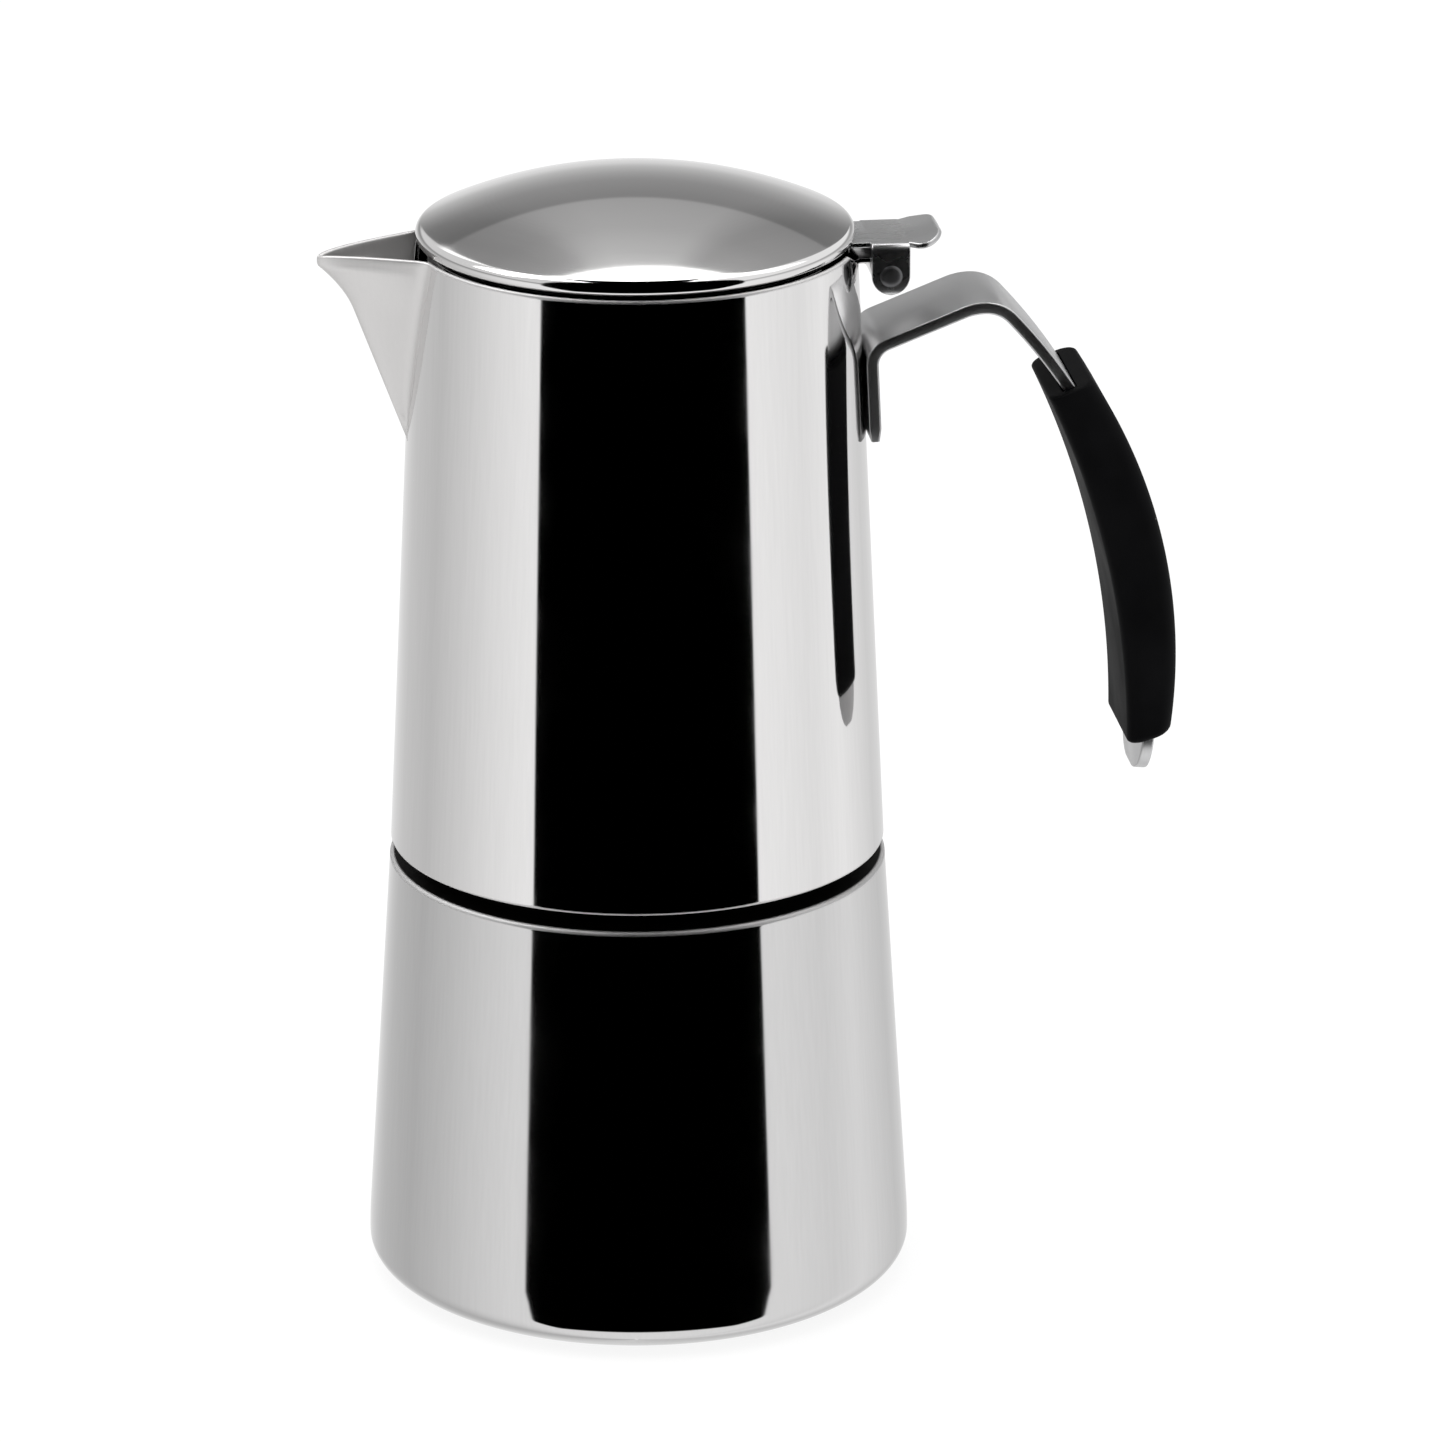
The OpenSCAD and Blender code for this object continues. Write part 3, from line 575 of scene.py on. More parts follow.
def collector_wall():
    lip = SHEET / 2
    angles = [math.radians(a * 1.5) for a in range(240)]
    for centre, half_w in ((math.pi, WINDOW_HALF_W), (0, NOTCH_HALF_W), (0, NOTCH_RIM_HALF_W)):
        for side in (-1, 1):
            edge = centre + side * math.asin(half_w / RIM_R)
            angles += [(edge + d) % FULL_TURN for d in (-0.012, -0.004, -0.0005, 0.0005, 0.004, 0.012)]
    angles += [math.pi + 0.01 * i for i in range(-22, 23)]
    angles = sorted({round(a, 5) for a in angles})
    rings = []
    for a in angles:
        top = wall_top(a) - lip
        heights = [COLLECTOR_Z + 0.6, COLLECTOR_Z + 1.2]
        heights += [lerp(COLLECTOR_Z + 1.2, top - 0.3, i / 12) for i in range(1, 13)]
        outline = rounded(
            [(wall_r(COLLECTOR_Z) - SHEET, COLLECTOR_Z, 0.2), (wall_r(COLLECTOR_Z), COLLECTOR_Z, 0.35),
             (wall_r(top), top + lip, 0), (wall_r(top) - SHEET, top + lip, 0)], 4
        )[:10]
        outline += [(wall_r(z), z) for z in heights]
        outline += [(x, z) for x, z in arc(wall_r(top) - lip, top, lip, 0, 180, 10)]
        outline += [(wall_r(z) - SHEET, z) for z in reversed(heights)]
        rings.append([(r * math.cos(a), r * math.sin(a), z) for r, z in outline])
    verts, faces = loft(rings, closed_ends=False)
    n, last = len(rings[0]), (len(rings) - 1) * len(rings[0])
    faces += [(last + i, last + (i + 1) % n, (i + 1) % n, i) for i in range(n)]
    return piece(
        "collector_wall", [(verts, faces)], "collector", wall_steel, ["collector_shell"]
    )


# Spout: a rounded V in plan that leaves the wall at two creases
SPOUT_HALF_W, SPOUT_START_Z, SPOUT_TIP, SPOUT_NOSE = 11.0, 161.0, 56.8, 0.22
SPOUT_LEAN, SPOUT_CURL, SPOUT_LIP_DROP, SPOUT_DIP = 0.375, 0.0453, 11.15, 1.3
CREASE_BLEND = 1.6


def spout_half_w(z):
    return max(1.2, SPOUT_HALF_W * (z - SPOUT_START_Z) / (RIM_Z - SPOUT_START_Z))


def spout_lead(z):
    curl = SPOUT_CURL * max(0, z - RIM_Z + SPOUT_LIP_DROP) ** 2
    return min(SPOUT_TIP, wall_r(SPOUT_START_Z) + 0.3 + SPOUT_LEAN * (z - SPOUT_START_Z) + curl)


def spout_reach(y, z):
    """Distance of the spout's outer face from the hinge-to-spout cross plane, blended into the wall."""
    w = spout_half_w(z)
    nose = SPOUT_NOSE * w
    lead = spout_lead(z)
    root = math.sqrt(wall_r(z) ** 2 - w * w)
    slope = (lead - root) / (math.hypot(w, nose) - nose)
    vee = lead - slope * (math.hypot(y, nose) - nose)
    wall = math.sqrt(wall_r(z) ** 2 - y * y) + 0.02
    k = 0.05 + (min(CREASE_BLEND, 0.3 + 0.4 * w) - 0.05) * smoothstep((z - SPOUT_START_Z) / 6)
    h = min(1.0, max(0.0, 0.5 + 0.5 * (vee - wall) / k))
    return lerp(wall, vee, h) + k * h * (1 - h)


def spout():
    rows, side = 56, 34
    edge = 0.45
    tiny = 0.02

    def place(k, i):
        t = i / side
        z_top = RIM_Z - SPOUT_DIP * max(0, 1 - abs(t) * 1.15) ** 2 - edge
        z = lerp(SPOUT_START_Z - 0.8, z_top, k / rows)
        spread = spout_half_w(z) + lerp(0.5, 2.2, smoothstep((z - SPOUT_START_Z) / 12))
        y = spread * math.copysign(abs(t) ** 1.25, t)
        return Vector((-spout_reach(y, z), y, z)), y, z

    def outward(y, z):
        here = spout_reach(y, z)
        dy = (spout_reach(y + tiny, z) - here) / tiny
        dz = (spout_reach(y, z + tiny) - spout_reach(y, z - tiny)) / (2 * tiny)
        return Vector((-1, -dy, -dz)).normalized()

    rings = []
    for i in range(-side, side + 1):
        outer, inner = [], []
        for k in range(rows + 1):
            point, y, z = place(k, i)
            normal = outward(y, z)
            outer.append(point)
            inner.append(point - normal * lerp(0.15, SHEET, smoothstep((z - SPOUT_START_Z) / 5)))
        normal = (outer[-1] - inner[-1]).normalized()
        middle = (outer[-1] + inner[-1]) / 2
        up = (Vector((0, 0, 1)) - normal * normal.z).normalized()
        lip = []
        for s in range(1, 8):
            a = math.pi * s / 8
            lip.append(middle + normal * (SHEET / 2 * math.cos(a)) + up * (edge * math.sin(a)))
        rings.append(outer + lip + inner[::-1])
    return piece("pouring_spout", [loft(rings)], "collector", spout_steel, ["spout"], 50)


def collector_inside():
    recess = SEAT_Z + 0.7
    floor_line = supported(
        rounded(
            [
                (wall_r(SEAT_Z) - SHEET, SEAT_Z, 0), (34.2, SEAT_Z, 0), (34.2, recess, 0),
                (30.0, recess, 0), (7.2, 104, 0.6), (7.2, 108, 0), (8.1, 108, 0.3), (8.1, 104.9, 1.2),
                (30.2, recess + SHEET, 6), (35.1, recess + SHEET, 0), (35.1, SEAT_Z + SHEET, 0),
                (wall_r(SEAT_Z + SHEET) - SHEET, SEAT_Z + SHEET, 0),
            ],
            5,
        ),
        0.2,
    )
    tube = supported(
        rounded(
            [
                (6.4, 104, 0), (7.2, 104, 0), (7.2, 109, 4), (5.5, 140, 10), (5.5, 150, 0.3),
                (4.7, 150, 0.3), (4.7, 140, 10), (6.4, 109, 4),
            ]
        ),
        0.2,
    )
    ring = [(42.2, 84.6, 0.4), (wall_r(84.6) - SHEET, 84.6, 0), (wall_r(SEAT_Z) - SHEET, SEAT_Z, 0), (42.2, SEAT_Z, 0)]
    thread = helix_ridge(86.4, 2, 42.6, 40.95, 4, 1.7, 0.9)
    for name, parts, material, node in (
        ("collector_dish", [lathe(floor_line)], turned_steel, "collector_floor"),
        ("riser_tube", [lathe(tube, even_angles(96))], pressed_steel, "column_tube"),
        ("threaded_ring", [lathe(supported(rounded(ring, 4), 0.2)), thread], turned_steel, "collector_thread_ring"),
    ):
        piece(name, parts, "collector", material, [node])


# ---------------------------------------------------------------- hinge and lid

PIN_R, PIN_HEAD_R, PIN_HEAD_T = 1.65, 2.0, 0.5
EAR_R, EAR_T, EAR_OUT = 3.45, 1.0, 9.2
TONGUE_HALF_W, TONGUE_T, TONGUE_TOP, KNUCKLE_R = 7.7, 1.0, 193.0, 3.1
LID_R, LID_ROLL, LID_SHEET = 39.14, 1.7, 0.8
LID_TOP = RIM_Z + 11.65
ROLL_R, ROLL_Z = LID_R - LID_ROLL, RIM_Z + 1.68
LEVER_TOP, LEVER_T, LEVER_FOLD_R = ROLL_Z - LID_ROLL, 1.0, 1.8
across_y = Matrix.Translation((HINGE_X, 0, HINGE_Z)) @ Matrix.Rotation(math.pi / 2, 4, "X")


def hinge():
    tube = rounded(
        [(1.7, -TONGUE_HALF_W, 0.2), (KNUCKLE_R, -TONGUE_HALF_W, 0.25), (KNUCKLE_R, TONGUE_HALF_W, 0.25), (1.7, TONGUE_HALF_W, 0.2)], 4
    )
    mid = TONGUE_TOP - TONGUE_T / 2
    foot_x = wall_r(181) - SHEET - TONGUE_T / 2
    bend_r = 1.2
    line = [((foot_x, 0, 181), (-0.048, 0, 1)), ((wall_r(187) - SHEET - TONGUE_T / 2, 0, 187), (-0.048, 0, 1))]
    top_x = wall_r(mid) - SHEET - TONGUE_T / 2
    for x, z in arc(top_x + bend_r, mid - bend_r, bend_r, 180, 90, 6):
        line.append(((x, 0, z), (z - mid + bend_r, 0, -(x - top_x - bend_r))))
    line.append(((HINGE_X, 0, mid), (1, 0, 0)))
    stations = [(c, along, (0, 1, 0), TONGUE_HALF_W) for c, along in line]
    piece(
        "hinge_knuckle",
        [moved(lathe(tube, even_angles(72)), across_y), ribbon(stations, TONGUE_T, 0.3)],
        "collector", mirror_steel, ["hinge_bracket"],
    )
    half = EAR_OUT + PIN_HEAD_T
    rod = [(0.0, -half), (0.9, -half + 0.02), (1.45, -half + 0.08), (1.7, -half + 0.2)]
    rod += [(PIN_HEAD_R, -EAR_OUT - 0.02), (PIN_R, -EAR_OUT)]
    outline = rod + [(r, -z) for r, z in reversed(rod)]
    piece(
        "hinge_rivet", [moved(lathe(outline, even_angles(64), on_axis=True), across_y)],
        "lid", rivet_steel, ["hinge_pin"],
    )


def dome():
    drop = LID_TOP - ROLL_Z
    dome_r = (ROLL_R**2 + drop**2 - LID_ROLL**2) / (2 * (drop - LID_ROLL))
    centre = LID_TOP - dome_r
    lean = math.atan2(ROLL_R, ROLL_Z - centre)
    top = []
    for i in range(61):
        a = lean * i / 60
        top.append((dome_r * math.sin(a), centre + dome_r * math.cos(a)))
    lean_deg = math.degrees(lean)
    roll = arc(ROLL_R, ROLL_Z, LID_ROLL, 90 - lean_deg, -180 + 40, 40)
    under = []
    for i in range(40, -1, -1):
        a = lean * 0.965 * i / 40
        under.append(((dome_r - LID_SHEET) * math.sin(a), centre + (dome_r - LID_SHEET) * math.cos(a)))
    outline = top + roll[1:] + under
    piece("lid_dome_skin", [lathe(outline, even_angles(256), on_axis=True)], "lid",
          lid_steel, ["lid_dome"])
    ring_r = 37.2
    top_r = ROLL_R - LID_ROLL - 0.1
    joggle = LEVER_TOP - 0.1
    under_z = centre + math.sqrt((dome_r - LID_SHEET) ** 2 - top_r**2)
    flange_r = top_r - LID_SHEET - 3
    flange_z = centre + math.sqrt((dome_r - LID_SHEET) ** 2 - flange_r**2)
    bottom = RIM_Z - 5.5
    full = rounded(
        [
            (ring_r, bottom, 0.35), (ring_r, joggle - 0.65, 0.3), (top_r, joggle, 0.2), (top_r, under_z, 0),
            (flange_r, flange_z, 0), (flange_r, flange_z - 0.8, 0.3), (top_r - LID_SHEET, under_z - 0.5, 0.6),
            (top_r - LID_SHEET, joggle, 0.3), (ring_r - LID_SHEET, joggle - 0.65, 0.2), (ring_r - LID_SHEET, bottom, 0.35),
        ],
        4,
    )
    full = supported(full, 0.15)
    relief = math.asin(21 / ring_r)
    angles = [lerp(relief, FULL_TURN - relief, i / 200) for i in range(201)]
    rings = [[(r * math.cos(a), r * math.sin(a), z) for r, z in full] for a in angles]
    back_line = [(r, max(z, LEVER_TOP)) for r, z in full]
    back = [lerp(-relief, relief, i / 40) for i in range(41)]
    back_rings = [[(r * math.cos(a), r * math.sin(a), z) for r, z in back_line] for a in back]
    piece("lid_locating_ring", [loft(rings), loft(back_rings)], "lid", lid_steel, ["lid_ring"])


def lever():
    mid = LEVER_TOP - LEVER_T / 2
    flat_x, end_x, curl_r, corner_r, corner_w = 49.4, 54.3, 7.8, 4.4, 6.2
    tab_x = HINGE_X + EAR_R
    curl = math.degrees(math.asin((end_x - flat_x) / (curl_r + LEVER_T / 2)))
    line = [(lerp(34.9, tab_x - 0.05, i / 12), mid, 0.0) for i in range(13)]
    line += [(lerp(tab_x, flat_x, i / 4), mid, 0.0) for i in range(4)]
    for i in range(25):
        rad = math.radians(curl * (1 - (1 - i / 24) ** 1.8))
        reach = curl_r + LEVER_T / 2
        line.append((flat_x + reach * math.sin(rad), LEVER_TOP + curl_r - reach * math.cos(rad), rad))
    length = [0.0]
    for a, b in zip(line, line[1:]):
        length.append(length[-1] + math.hypot(b[0] - a[0], b[1] - a[1]))
    stations = []
    for (x, z, rad), along in zip(line, length):
        into = max(0.0, along - (length[-1] - corner_r))
        half_w = EAR_OUT - LEVER_FOLD_R * (1 - smoothstep((x - tab_x + 1) / 3.5))
        half_w -= corner_w * (1 - math.sqrt(max(0.0, 1 - (into / corner_r) ** 2)))
        stations.append(((x, 0, z), (math.cos(rad), 0, math.sin(rad)), (0, 1, 0), half_w))
    plate = ribbon(stations, LEVER_T, 0.3, end_round=0.2)
    # The ears are one strip folded down over both sides of the plate
    y = EAR_OUT - EAR_T / 2
    fold_z = LEVER_TOP - LEVER_FOLD_R
    fold_mid_r = LEVER_FOLD_R - EAR_T / 2
    side = []
    for i in range(12, 0, -1):
        a = math.radians(88 * i / 12)
        side.append((y, HINGE_Z - EAR_R * math.sin(a), 0.0, 1.0, EAR_R * math.cos(a)))
    side += [(y, lerp(HINGE_Z, fold_z, i / 3), 0.0, 1.0, EAR_R) for i in range(3)]
    for i in range(11):
        a = math.radians(90 * (1 - i / 10))
        side.append((y - fold_mid_r * (1 - math.sin(a)), fold_z + fold_mid_r * math.cos(a), -math.cos(a), math.sin(a), EAR_R))
    strip = [((HINGE_X, -v, w + 0.01), (0, -dv, dw), (1, 0, 0), half) for v, w, dv, dw, half in side]
    strip += [((HINGE_X, v, w + 0.01), (0, -dv, -dw), (1, 0, 0), half) for v, w, dv, dw, half in reversed(side)]
    for i, (centre, along, across, half) in enumerate(strip):
        if i >= len(side):
            v, w, dv, dw, h = side[2 * len(side) - 1 - i]
            strip[i] = (centre, (0, -dv, -dw), across, half)
    ears = ribbon(strip, EAR_T, 0.22)
    piece("thumb_lever", [plate, ears], "lid", lever_steel, ["lid_lever"], 40)


# ---------------------------------------------------------------- handle

STRAP_HALF_W, STRAP_T, STRAP_FOOT_Z = 10.5, 2.2, 159.5
WALL_LEAN = math.degrees(math.atan((COLLECTOR_R - RIM_R) / (RIM_Z - COLLECTOR_Z)))
RISE, FALL, END = 21.5, -47.2, -95.3
TIP_CORNER = 8.0


def step_end(x, z, heading, length, turn):
    """Where a path gets to that turns evenly by turn degrees over length."""
    h, t = math.radians(heading), math.radians(turn)
    if abs(t) < 1e-5:
        return x + length * math.cos(h), z + length * math.sin(h)
    r = length / t
    return x + r * (math.sin(h + t) - math.sin(h)), z + r * (math.cos(h) - math.cos(h + t))


def bent(x, z, heading, moves):
    """Points (x, z, heading in degrees) along a bent path."""
    out = []
    for length, turn, steps in moves:
        for k in range(steps):
            px, pz = step_end(x, z, heading, length * k / steps, turn * k / steps)
            out.append((px, pz, heading + turn * k / steps))
        x, z = step_end(x, z, heading, length, turn)
        heading += turn
    return out + [(x, z, heading)]


def bend(r, start, end, steps):
    return (r * math.radians(start - end), end - start, steps)


def strap():
    start = 90 + WALL_LEAN
    moves = [
        (14.1, 0, 6), bend(4.1, start, RISE, 14), (14.6, 0, 6), bend(11.2, RISE, 0, 10),
        bend(6.7, 0, FALL, 14), bend(100, FALL, END, 40), (3.0, 0, 4),
        (5.0, 0, 8), (2.0, 0, 8), (0.8, 0, 8), (0.2, 0, 6),
    ]
    path = bent(wall_r(STRAP_FOOT_Z) + STRAP_T / 2 - 0.35, STRAP_FOOT_Z, start, moves)
    tip = Vector(path[-1][:2])
    stations = []
    for x, z, heading in path:
        into = max(0.0, TIP_CORNER - (tip - Vector((x, z))).length)
        half_w = STRAP_HALF_W - (TIP_CORNER - math.sqrt(max(0.0, TIP_CORNER**2 - into**2)))
        h = math.radians(heading)
        stations.append(((x, 0, z), (math.cos(h), 0, math.sin(h)), (0, 1, 0), half_w))
    verts, faces = ribbon(stations, STRAP_T, 0.4, end_round=0.35)
    pressed = []
    for x, y, z in verts:
        if z < 178 and x < 46:
            reach = math.sqrt(max(1.0, wall_r(z) ** 2 - y * y)) - 0.25
            x = max(x, reach)
        pressed.append((x, y, z))
    piece("handle_strap_bent", [(pressed, faces)], "collector", satin_steel, ["handle_strap"], 40)


GRIP_HALF_W, GRIP_CORNER, GRIP_TOP_END, GRIP_END = 12.8, 3.0, 0.7, 1.3


def grip_section(mid, direction, half_t, half_w, radius):
    outline = rounded(
        [(-half_t, -half_w, radius), (half_t, -half_w, radius), (half_t, half_w, radius), (-half_t, half_w, radius)], 9
    )
    return [(mid.x + direction.x * u, v, mid.y + direction.y * u) for u, v in outline]


def grip():
    rows = 60

    def frame_at(t):
        inner = Vector(step_end(73.1, 166.9, -64, 69 * t, -26 * t))
        outer = Vector(step_end(81.2, 169.9, -57, 70.4 * t, -40.4 * t))
        return (inner + outer) / 2, (outer - inner).normalized(), (outer - inner).length / 2

    def strap_at(mid, direction):
        """Where the strap's middle crosses the grip's section."""
        best = min(strap_path, key=lambda q: abs((Vector(q[:2]) - mid).dot(Vector((direction.y, -direction.x)))))
        return (Vector(best[:2]) - mid).dot(direction)

    start = 90 + WALL_LEAN
    strap_path = bent(
        wall_r(STRAP_FOOT_Z) + STRAP_T / 2 - 0.35, STRAP_FOOT_Z, start,
        [(14.1, 0, 2), bend(4.1, start, RISE, 8), (14.6, 0, 4), bend(11.2, RISE, 0, 8),
         bend(6.7, 0, FALL, 8), bend(100, FALL, END, 400), (11.0, 0, 60)],
    )
    rings = []

    def slot_ring(t, grow):
        mid, direction, _ = frame_at(t)
        shift = strap_at(mid, direction)
        return grip_section(mid + direction * shift, direction, STRAP_T / 2 + grow, STRAP_HALF_W + grow, 0.45)

    depth = 0.045
    rings.append(slot_ring(depth, 0.05))
    rings.append(slot_ring(0.0, 0.35))
    for i in range(6):
        a = math.radians(90 * i / 5)
        t = GRIP_TOP_END / 70 * (1 - math.sin(a))
        mid, direction, half_t = frame_at(t)
        cut = GRIP_TOP_END * (1 - math.cos(a))
        rings.append(grip_section(mid, direction, half_t - cut, GRIP_HALF_W - cut, GRIP_CORNER - cut * 0.6))
    rings[2:8] = rings[7:1:-1]
    for i in range(1, rows):
        t = lerp(GRIP_TOP_END / 70, 1 - GRIP_END / 70, i / rows)
        mid, direction, half_t = frame_at(t)
        rings.append(grip_section(mid, direction, half_t, GRIP_HALF_W, GRIP_CORNER))
    for i in range(6):
        a = math.radians(90 * i / 5)
        t = 1 - GRIP_END / 70 * (1 - math.sin(a))
        mid, direction, half_t = frame_at(t)
        cut = GRIP_END * (1 - math.cos(a))
        rings.append(grip_section(mid, direction, half_t - cut, GRIP_HALF_W - cut, GRIP_CORNER - cut * 0.6))
    rings.append(slot_ring(1.0, 0.3))
    rings.append(slot_ring(1 - depth, 0.05))
    piece("handle_grip_cover", [loft(rings)], "collector", grip_plastic, ["handle_grip"], 50)


boiler()
neck()
valve()
collector_wall()
spout()
collector_inside()
hinge()
dome()
lever()
strap()
grip()

KEPT = {
    "valve_spring": pressed_steel, "valve_nut": turned_brass, "funnel_cup": turned_steel,
    "funnel_screen": turned_steel, "funnel_stem": pressed_steel, "gasket": pale_silicone,
    "filter_plate": turned_steel, "column_cap": pressed_steel,
}
for node_name, kept_material in KEPT.items():
    nodes[node_name].data.materials.clear()
    nodes[node_name].data.materials.append(kept_material)


# ---------------------------------------------------------------- studio


def floor():
    size = 30.0
    mesh = bpy.data.meshes.new("floor")
    corners = [(-size, -size, 0), (size, -size, 0), (size, size, 0), (-size, size, 0)]
    mesh.from_pydata(corners, [], [(0, 1, 2, 3)])
    obj = bpy.data.objects.new("floor", mesh)
    bpy.context.scene.collection.objects.link(obj)
    material = bpy.data.materials.new("pale_floor")
    material.use_nodes = True
    n = Nodes(material.node_tree)
    out = n.add("ShaderNodeOutputMaterial")
    glow = n.add("ShaderNodeEmission")
    glow.inputs["Color"].default_value = (1, 1, 1, 1)
    glow.inputs["Strength"].default_value = 0.84
    matt = n.add("ShaderNodeBsdfDiffuse")
    matt.inputs["Color"].default_value = (0.2, 0.2, 0.2, 1)
    both = n.add("ShaderNodeAddShader")
    n.link(glow.outputs[0], both.inputs[0])
    n.link(matt.outputs[0], both.inputs[1])
    n.link(both.outputs[0], out.inputs[0])
    mesh.materials.append(material)
    obj.visible_glossy = False


def angle_stops(pairs):
    """Colour-ramp stops from (degrees from -180 to 180, level)."""
    return [((deg + 180) / 360, level) for deg, level in pairs]


def height_stops(pairs):
    """Colour-ramp stops from (degrees above the horizon, level), by the sine of the height."""
    return [((math.sin(math.radians(deg)) + 1) / 2, level) for deg, level in pairs]


# Light round the pot, by compass angle: 0 is in front (-Y), 90 the handle's side, -90 the spout's
LOW_LIGHT = angle_stops(
    [
        (-180, 0.86), (-150, 0.66), (-122, 0.60), (-100, 0.72), (-80, 0.86), (-60, 0.97),
        (0, 1.0), (60, 0.98), (85, 0.90), (105, 0.98), (122, 0.86), (140, 0.72), (160, 0.76), (180, 0.86),
    ]
)
HIGH_LIGHT = angle_stops(
    [
        (-180, 0.90), (-175, 0.84), (-170, 0.62), (-164, 0.54), (-150, 0.60), (-90, 0.60),
        (0, 0.80), (90, 0.84), (150, 0.66), (157, 0.62), (163, 0.86), (180, 0.90),
    ]
)
# The backdrop gets darker with height, up to a lit ceiling
HEIGHT_LIGHT = height_stops(
    [
        (-90, 1.0), (-8, 1.0), (0, 0.84), (5, 0.62), (12, 0.46), (18, 0.355), (29.8, 0.29),
        (30.4, 0.46), (45, 0.53), (55, 0.64), (62, 0.76), (90, 0.80),
    ]
)
# Unlit front of the room, with a dim strip at eye level
FRONT_MIDDLE, FRONT_HALF_W, FRONT_CORNER = -1.9, 53.4, 12.0
# How far into its rounded lower corner a height is: 0 at its start and 1 at the panel's end
FRONT_LOW = height_stops(
    [
        (-90, 1.0), (-60, 0.75), (-45, 0.5), (-32, 0.42), (-24, 0.33), (-19.2, 0.25),
        (-16, 0.12), (-12.3, 0.0), (90, 0.0),
    ]
)
# Lit side walls, seen only near the lid's edge; the left one starts with a bright strip
SIDE_FROM, SIDE_FROM_HEIGHT, SIDE_SLOPE = 20.6, 23.2, 0.443
SIDE_STRIP, SIDE_LEFT_LEVEL, SIDE_RIGHT_LEVEL = 2.6, 0.74, 0.95
SOFTBOX_BACK, SOFTBOX_FRONT, SOFTBOX_LEFT, SOFTBOX_RIGHT = -0.57, 0.22, -1.6, 1.4
FLAG_BACK, FLAG_FRONT, FLAG_HALF_W = -0.38, 0.30, 0.30


def unlit_front(n, compass, height):
    """1 inside the front panel, which has rounded lower corners."""
    side = n.math("ABSOLUTE", n.math("SUBTRACT", compass, math.radians(FRONT_MIDDLE)))
    side = n.math("SUBTRACT", side, math.radians(FRONT_HALF_W - FRONT_CORNER))
    side = n.math("DIVIDE", n.math("MAXIMUM", side, 0.0), math.radians(FRONT_CORNER))
    low = n.math("MULTIPLY", n.ramp(height, FRONT_LOW), 2.0)
    reach = n.math("SQRT", n.math("ADD", n.math("MULTIPLY", side, side), n.math("MULTIPLY", low, low)))
    return fade(n, reach, 1.05, -0.1)


def studio():
    """Reflections see lit walls, a dark front and a ceiling softbox; everything else sees plain white."""
    world = bpy.data.worlds.new("studio")
    bpy.context.scene.world = world
    world.use_nodes = True
    world.cycles.sampling_method = "NONE"
    n = Nodes(world.node_tree)
    out = n.add("ShaderNodeOutputWorld")
    split = n.add("ShaderNodeSeparateXYZ")
    n.link(n.add("ShaderNodeTexCoord").outputs["Generated"], split.inputs[0])
    x, y, z = split.outputs
    compass = n.math("ARCTAN2", x, n.math("MULTIPLY", y, -1.0))
    share = n.math("ADD", n.math("DIVIDE", compass, FULL_TURN), 0.5)
    height = n.math("ADD", n.math("MULTIPLY", z, 0.5), 0.5)
    around = blend(n, n.ramp(share, LOW_LIGHT), n.ramp(share, HIGH_LIGHT), fade(n, z, -0.1, 0.2))
    light = n.math("MULTIPLY", around, n.ramp(height, HEIGHT_LIGHT))
    # Side walls
    off_back = n.math("SUBTRACT", math.pi, n.math("ABSOLUTE", n.math("ADD", compass, math.radians(6.9))))
    above = n.math("SUBTRACT", n.math("ARCSINE", z), math.radians(SIDE_FROM_HEIGHT))
    starts = n.math("ADD", n.math("MULTIPLY", above, SIDE_SLOPE), math.radians(SIDE_FROM))
    past = n.math("SUBTRACT", off_back, starts)
    left = n.math("LESS_THAN", x, 0.0)
    high = fade(n, z, 0.14, 0.12)
    side_level = blend(n, SIDE_RIGHT_LEVEL, SIDE_LEFT_LEVEL, left)
    light = blend(n, light, side_level, n.math("MULTIPLY", fade(n, past, 0.0, 0.01), high))
    strip = within(n, past, 0.0, math.radians(SIDE_STRIP), 0.008)
    light = blend(n, light, 1.5, n.math("MULTIPLY", n.math("MULTIPLY", strip, left), fade(n, z, 0.44, 0.1)))
    light = blend(n, light, 0.0, unlit_front(n, compass, height))
    # Softbox and black flag, by where a direction meets the ceiling
    up = n.math("MAXIMUM", z, 0.01)
    ahead = n.math("DIVIDE", n.math("MULTIPLY", y, -1.0), up)
    aside = n.math("DIVIDE", x, up)
    level = blend(n, 3.0, 1.6, fade(n, aside, 0.4, 0.1))
    light = blend(n, light, level, panel(n, ahead, aside, SOFTBOX_BACK, SOFTBOX_FRONT, SOFTBOX_LEFT, SOFTBOX_RIGHT))
    light = blend(n, light, 0.0, panel(n, ahead, aside, FLAG_BACK, FLAG_FRONT, -FLAG_HALF_W, FLAG_HALF_W))
    mirrored = n.add("ShaderNodeBackground")
    n.link(light, mirrored.inputs["Color"])
    plain = n.add("ShaderNodeBackground")
    plain.inputs["Color"].default_value = (1, 1, 1, 1)
    choose = n.add("ShaderNodeMixShader")
    n.link(n.add("ShaderNodeLightPath").outputs["Is Glossy Ray"], choose.inputs[0])
    n.link(plain.outputs[0], choose.inputs[1])
    n.link(mirrored.outputs[0], choose.inputs[2])
    n.link(choose.outputs[0], out.inputs[0])


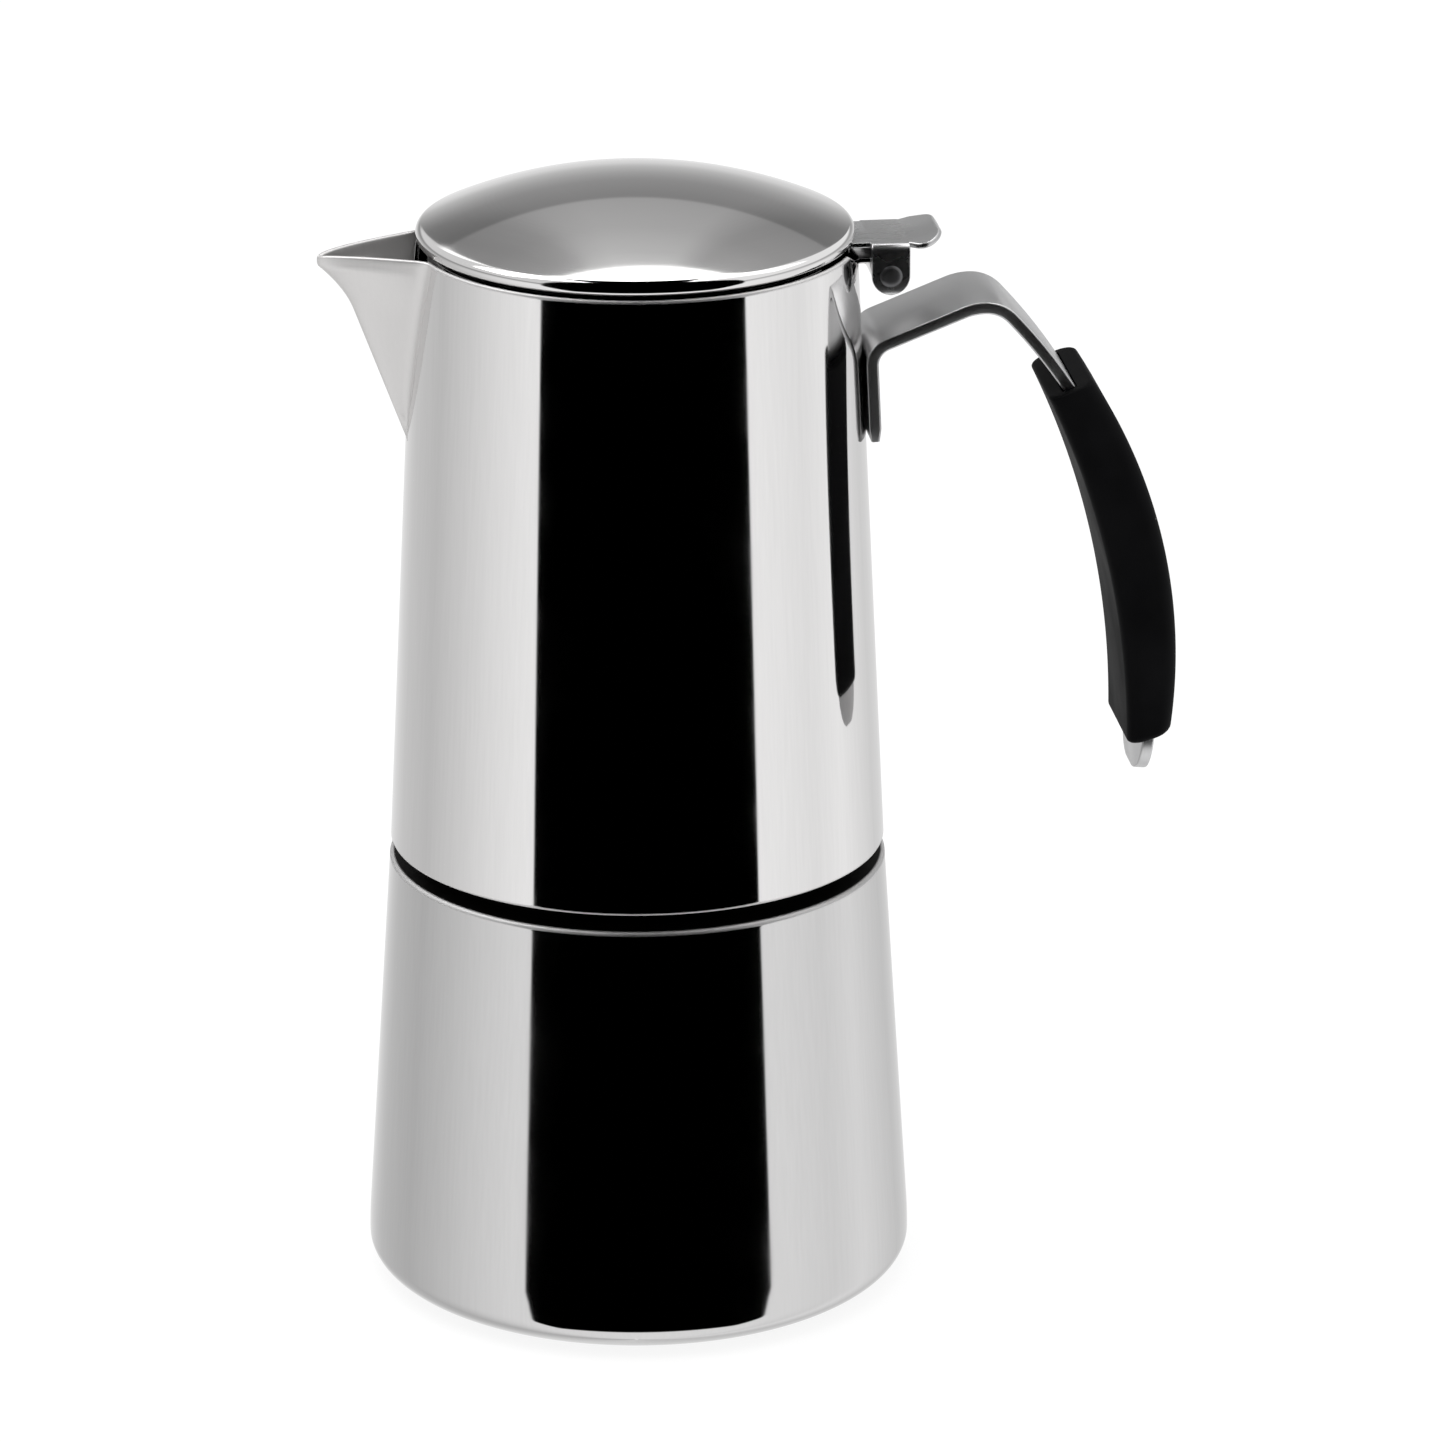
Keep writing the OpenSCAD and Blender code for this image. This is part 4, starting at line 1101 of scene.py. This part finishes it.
def blend(n, a, b, factor):
    """a where factor is 0 and b where it is 1."""
    kept = n.math("MULTIPLY", a, n.math("SUBTRACT", 1.0, factor))
    return n.math("ADD", kept, n.math("MULTIPLY", b, factor))


def panel(n, ahead, aside, back, front, left, right):
    """1 inside a rectangle on the ceiling, with a soft edge."""
    soft = 0.04
    along = n.math("MULTIPLY", fade(n, ahead, back, soft), fade(n, ahead, front, -soft))
    across = n.math("MULTIPLY", fade(n, aside, left, soft), fade(n, aside, right, -soft))
    return n.math("MULTIPLY", along, across)


def fade(n, value, at, width):
    """0 to 1 over width past a value, or 1 to 0 for a negative width."""
    node = n.add("ShaderNodeMapRange", interpolation_type="SMOOTHSTEP")
    low, high = min(at, at + width), max(at, at + width)
    node.inputs["From Min"].default_value = low
    node.inputs["From Max"].default_value = high
    node.inputs["To Min"].default_value = 0.0 if width > 0 else 1.0
    node.inputs["To Max"].default_value = 1.0 if width > 0 else 0.0
    n.link(value, node.inputs["Value"])
    return node.outputs[0]


def lamp():
    data = bpy.data.lights.new("overhead", "AREA")
    data.shape = "DISK"
    data.size = 1.4
    data.energy = 6.0
    obj = bpy.data.objects.new("overhead", data)
    obj.location = (-0.3, -0.3, 1.6)
    obj.rotation_euler = Vector((-0.3, -0.3, 1.6)).to_track_quat("Z", "Y").to_euler()
    obj.visible_glossy = False
    bpy.context.scene.collection.objects.link(obj)


def camera():
    azimuth, elevation = math.radians(-6.9), math.radians(19.23)
    distance = 1.45757
    right = Vector((math.cos(azimuth), math.sin(azimuth), 0))
    back = Vector(
        (math.sin(azimuth) * math.cos(elevation), -math.cos(azimuth) * math.cos(elevation), math.sin(elevation))
    )
    aim = right * 0.015545 + Vector((0, 0, 0.104904))
    data = bpy.data.cameras.new("camera")
    data.sensor_width = 36.0
    data.lens = 199.8
    data.clip_start, data.clip_end = 0.05, 200.0
    obj = bpy.data.objects.new("camera", data)
    obj.location = aim + back * distance
    obj.rotation_euler = back.to_track_quat("Z", "Y").to_euler()
    bpy.context.scene.collection.objects.link(obj)
    bpy.context.scene.camera = obj


floor()
studio()
lamp()
camera()
bpy.context.scene.view_settings.view_transform = "Standard"
bpy.context.scene.view_settings.look = "None"
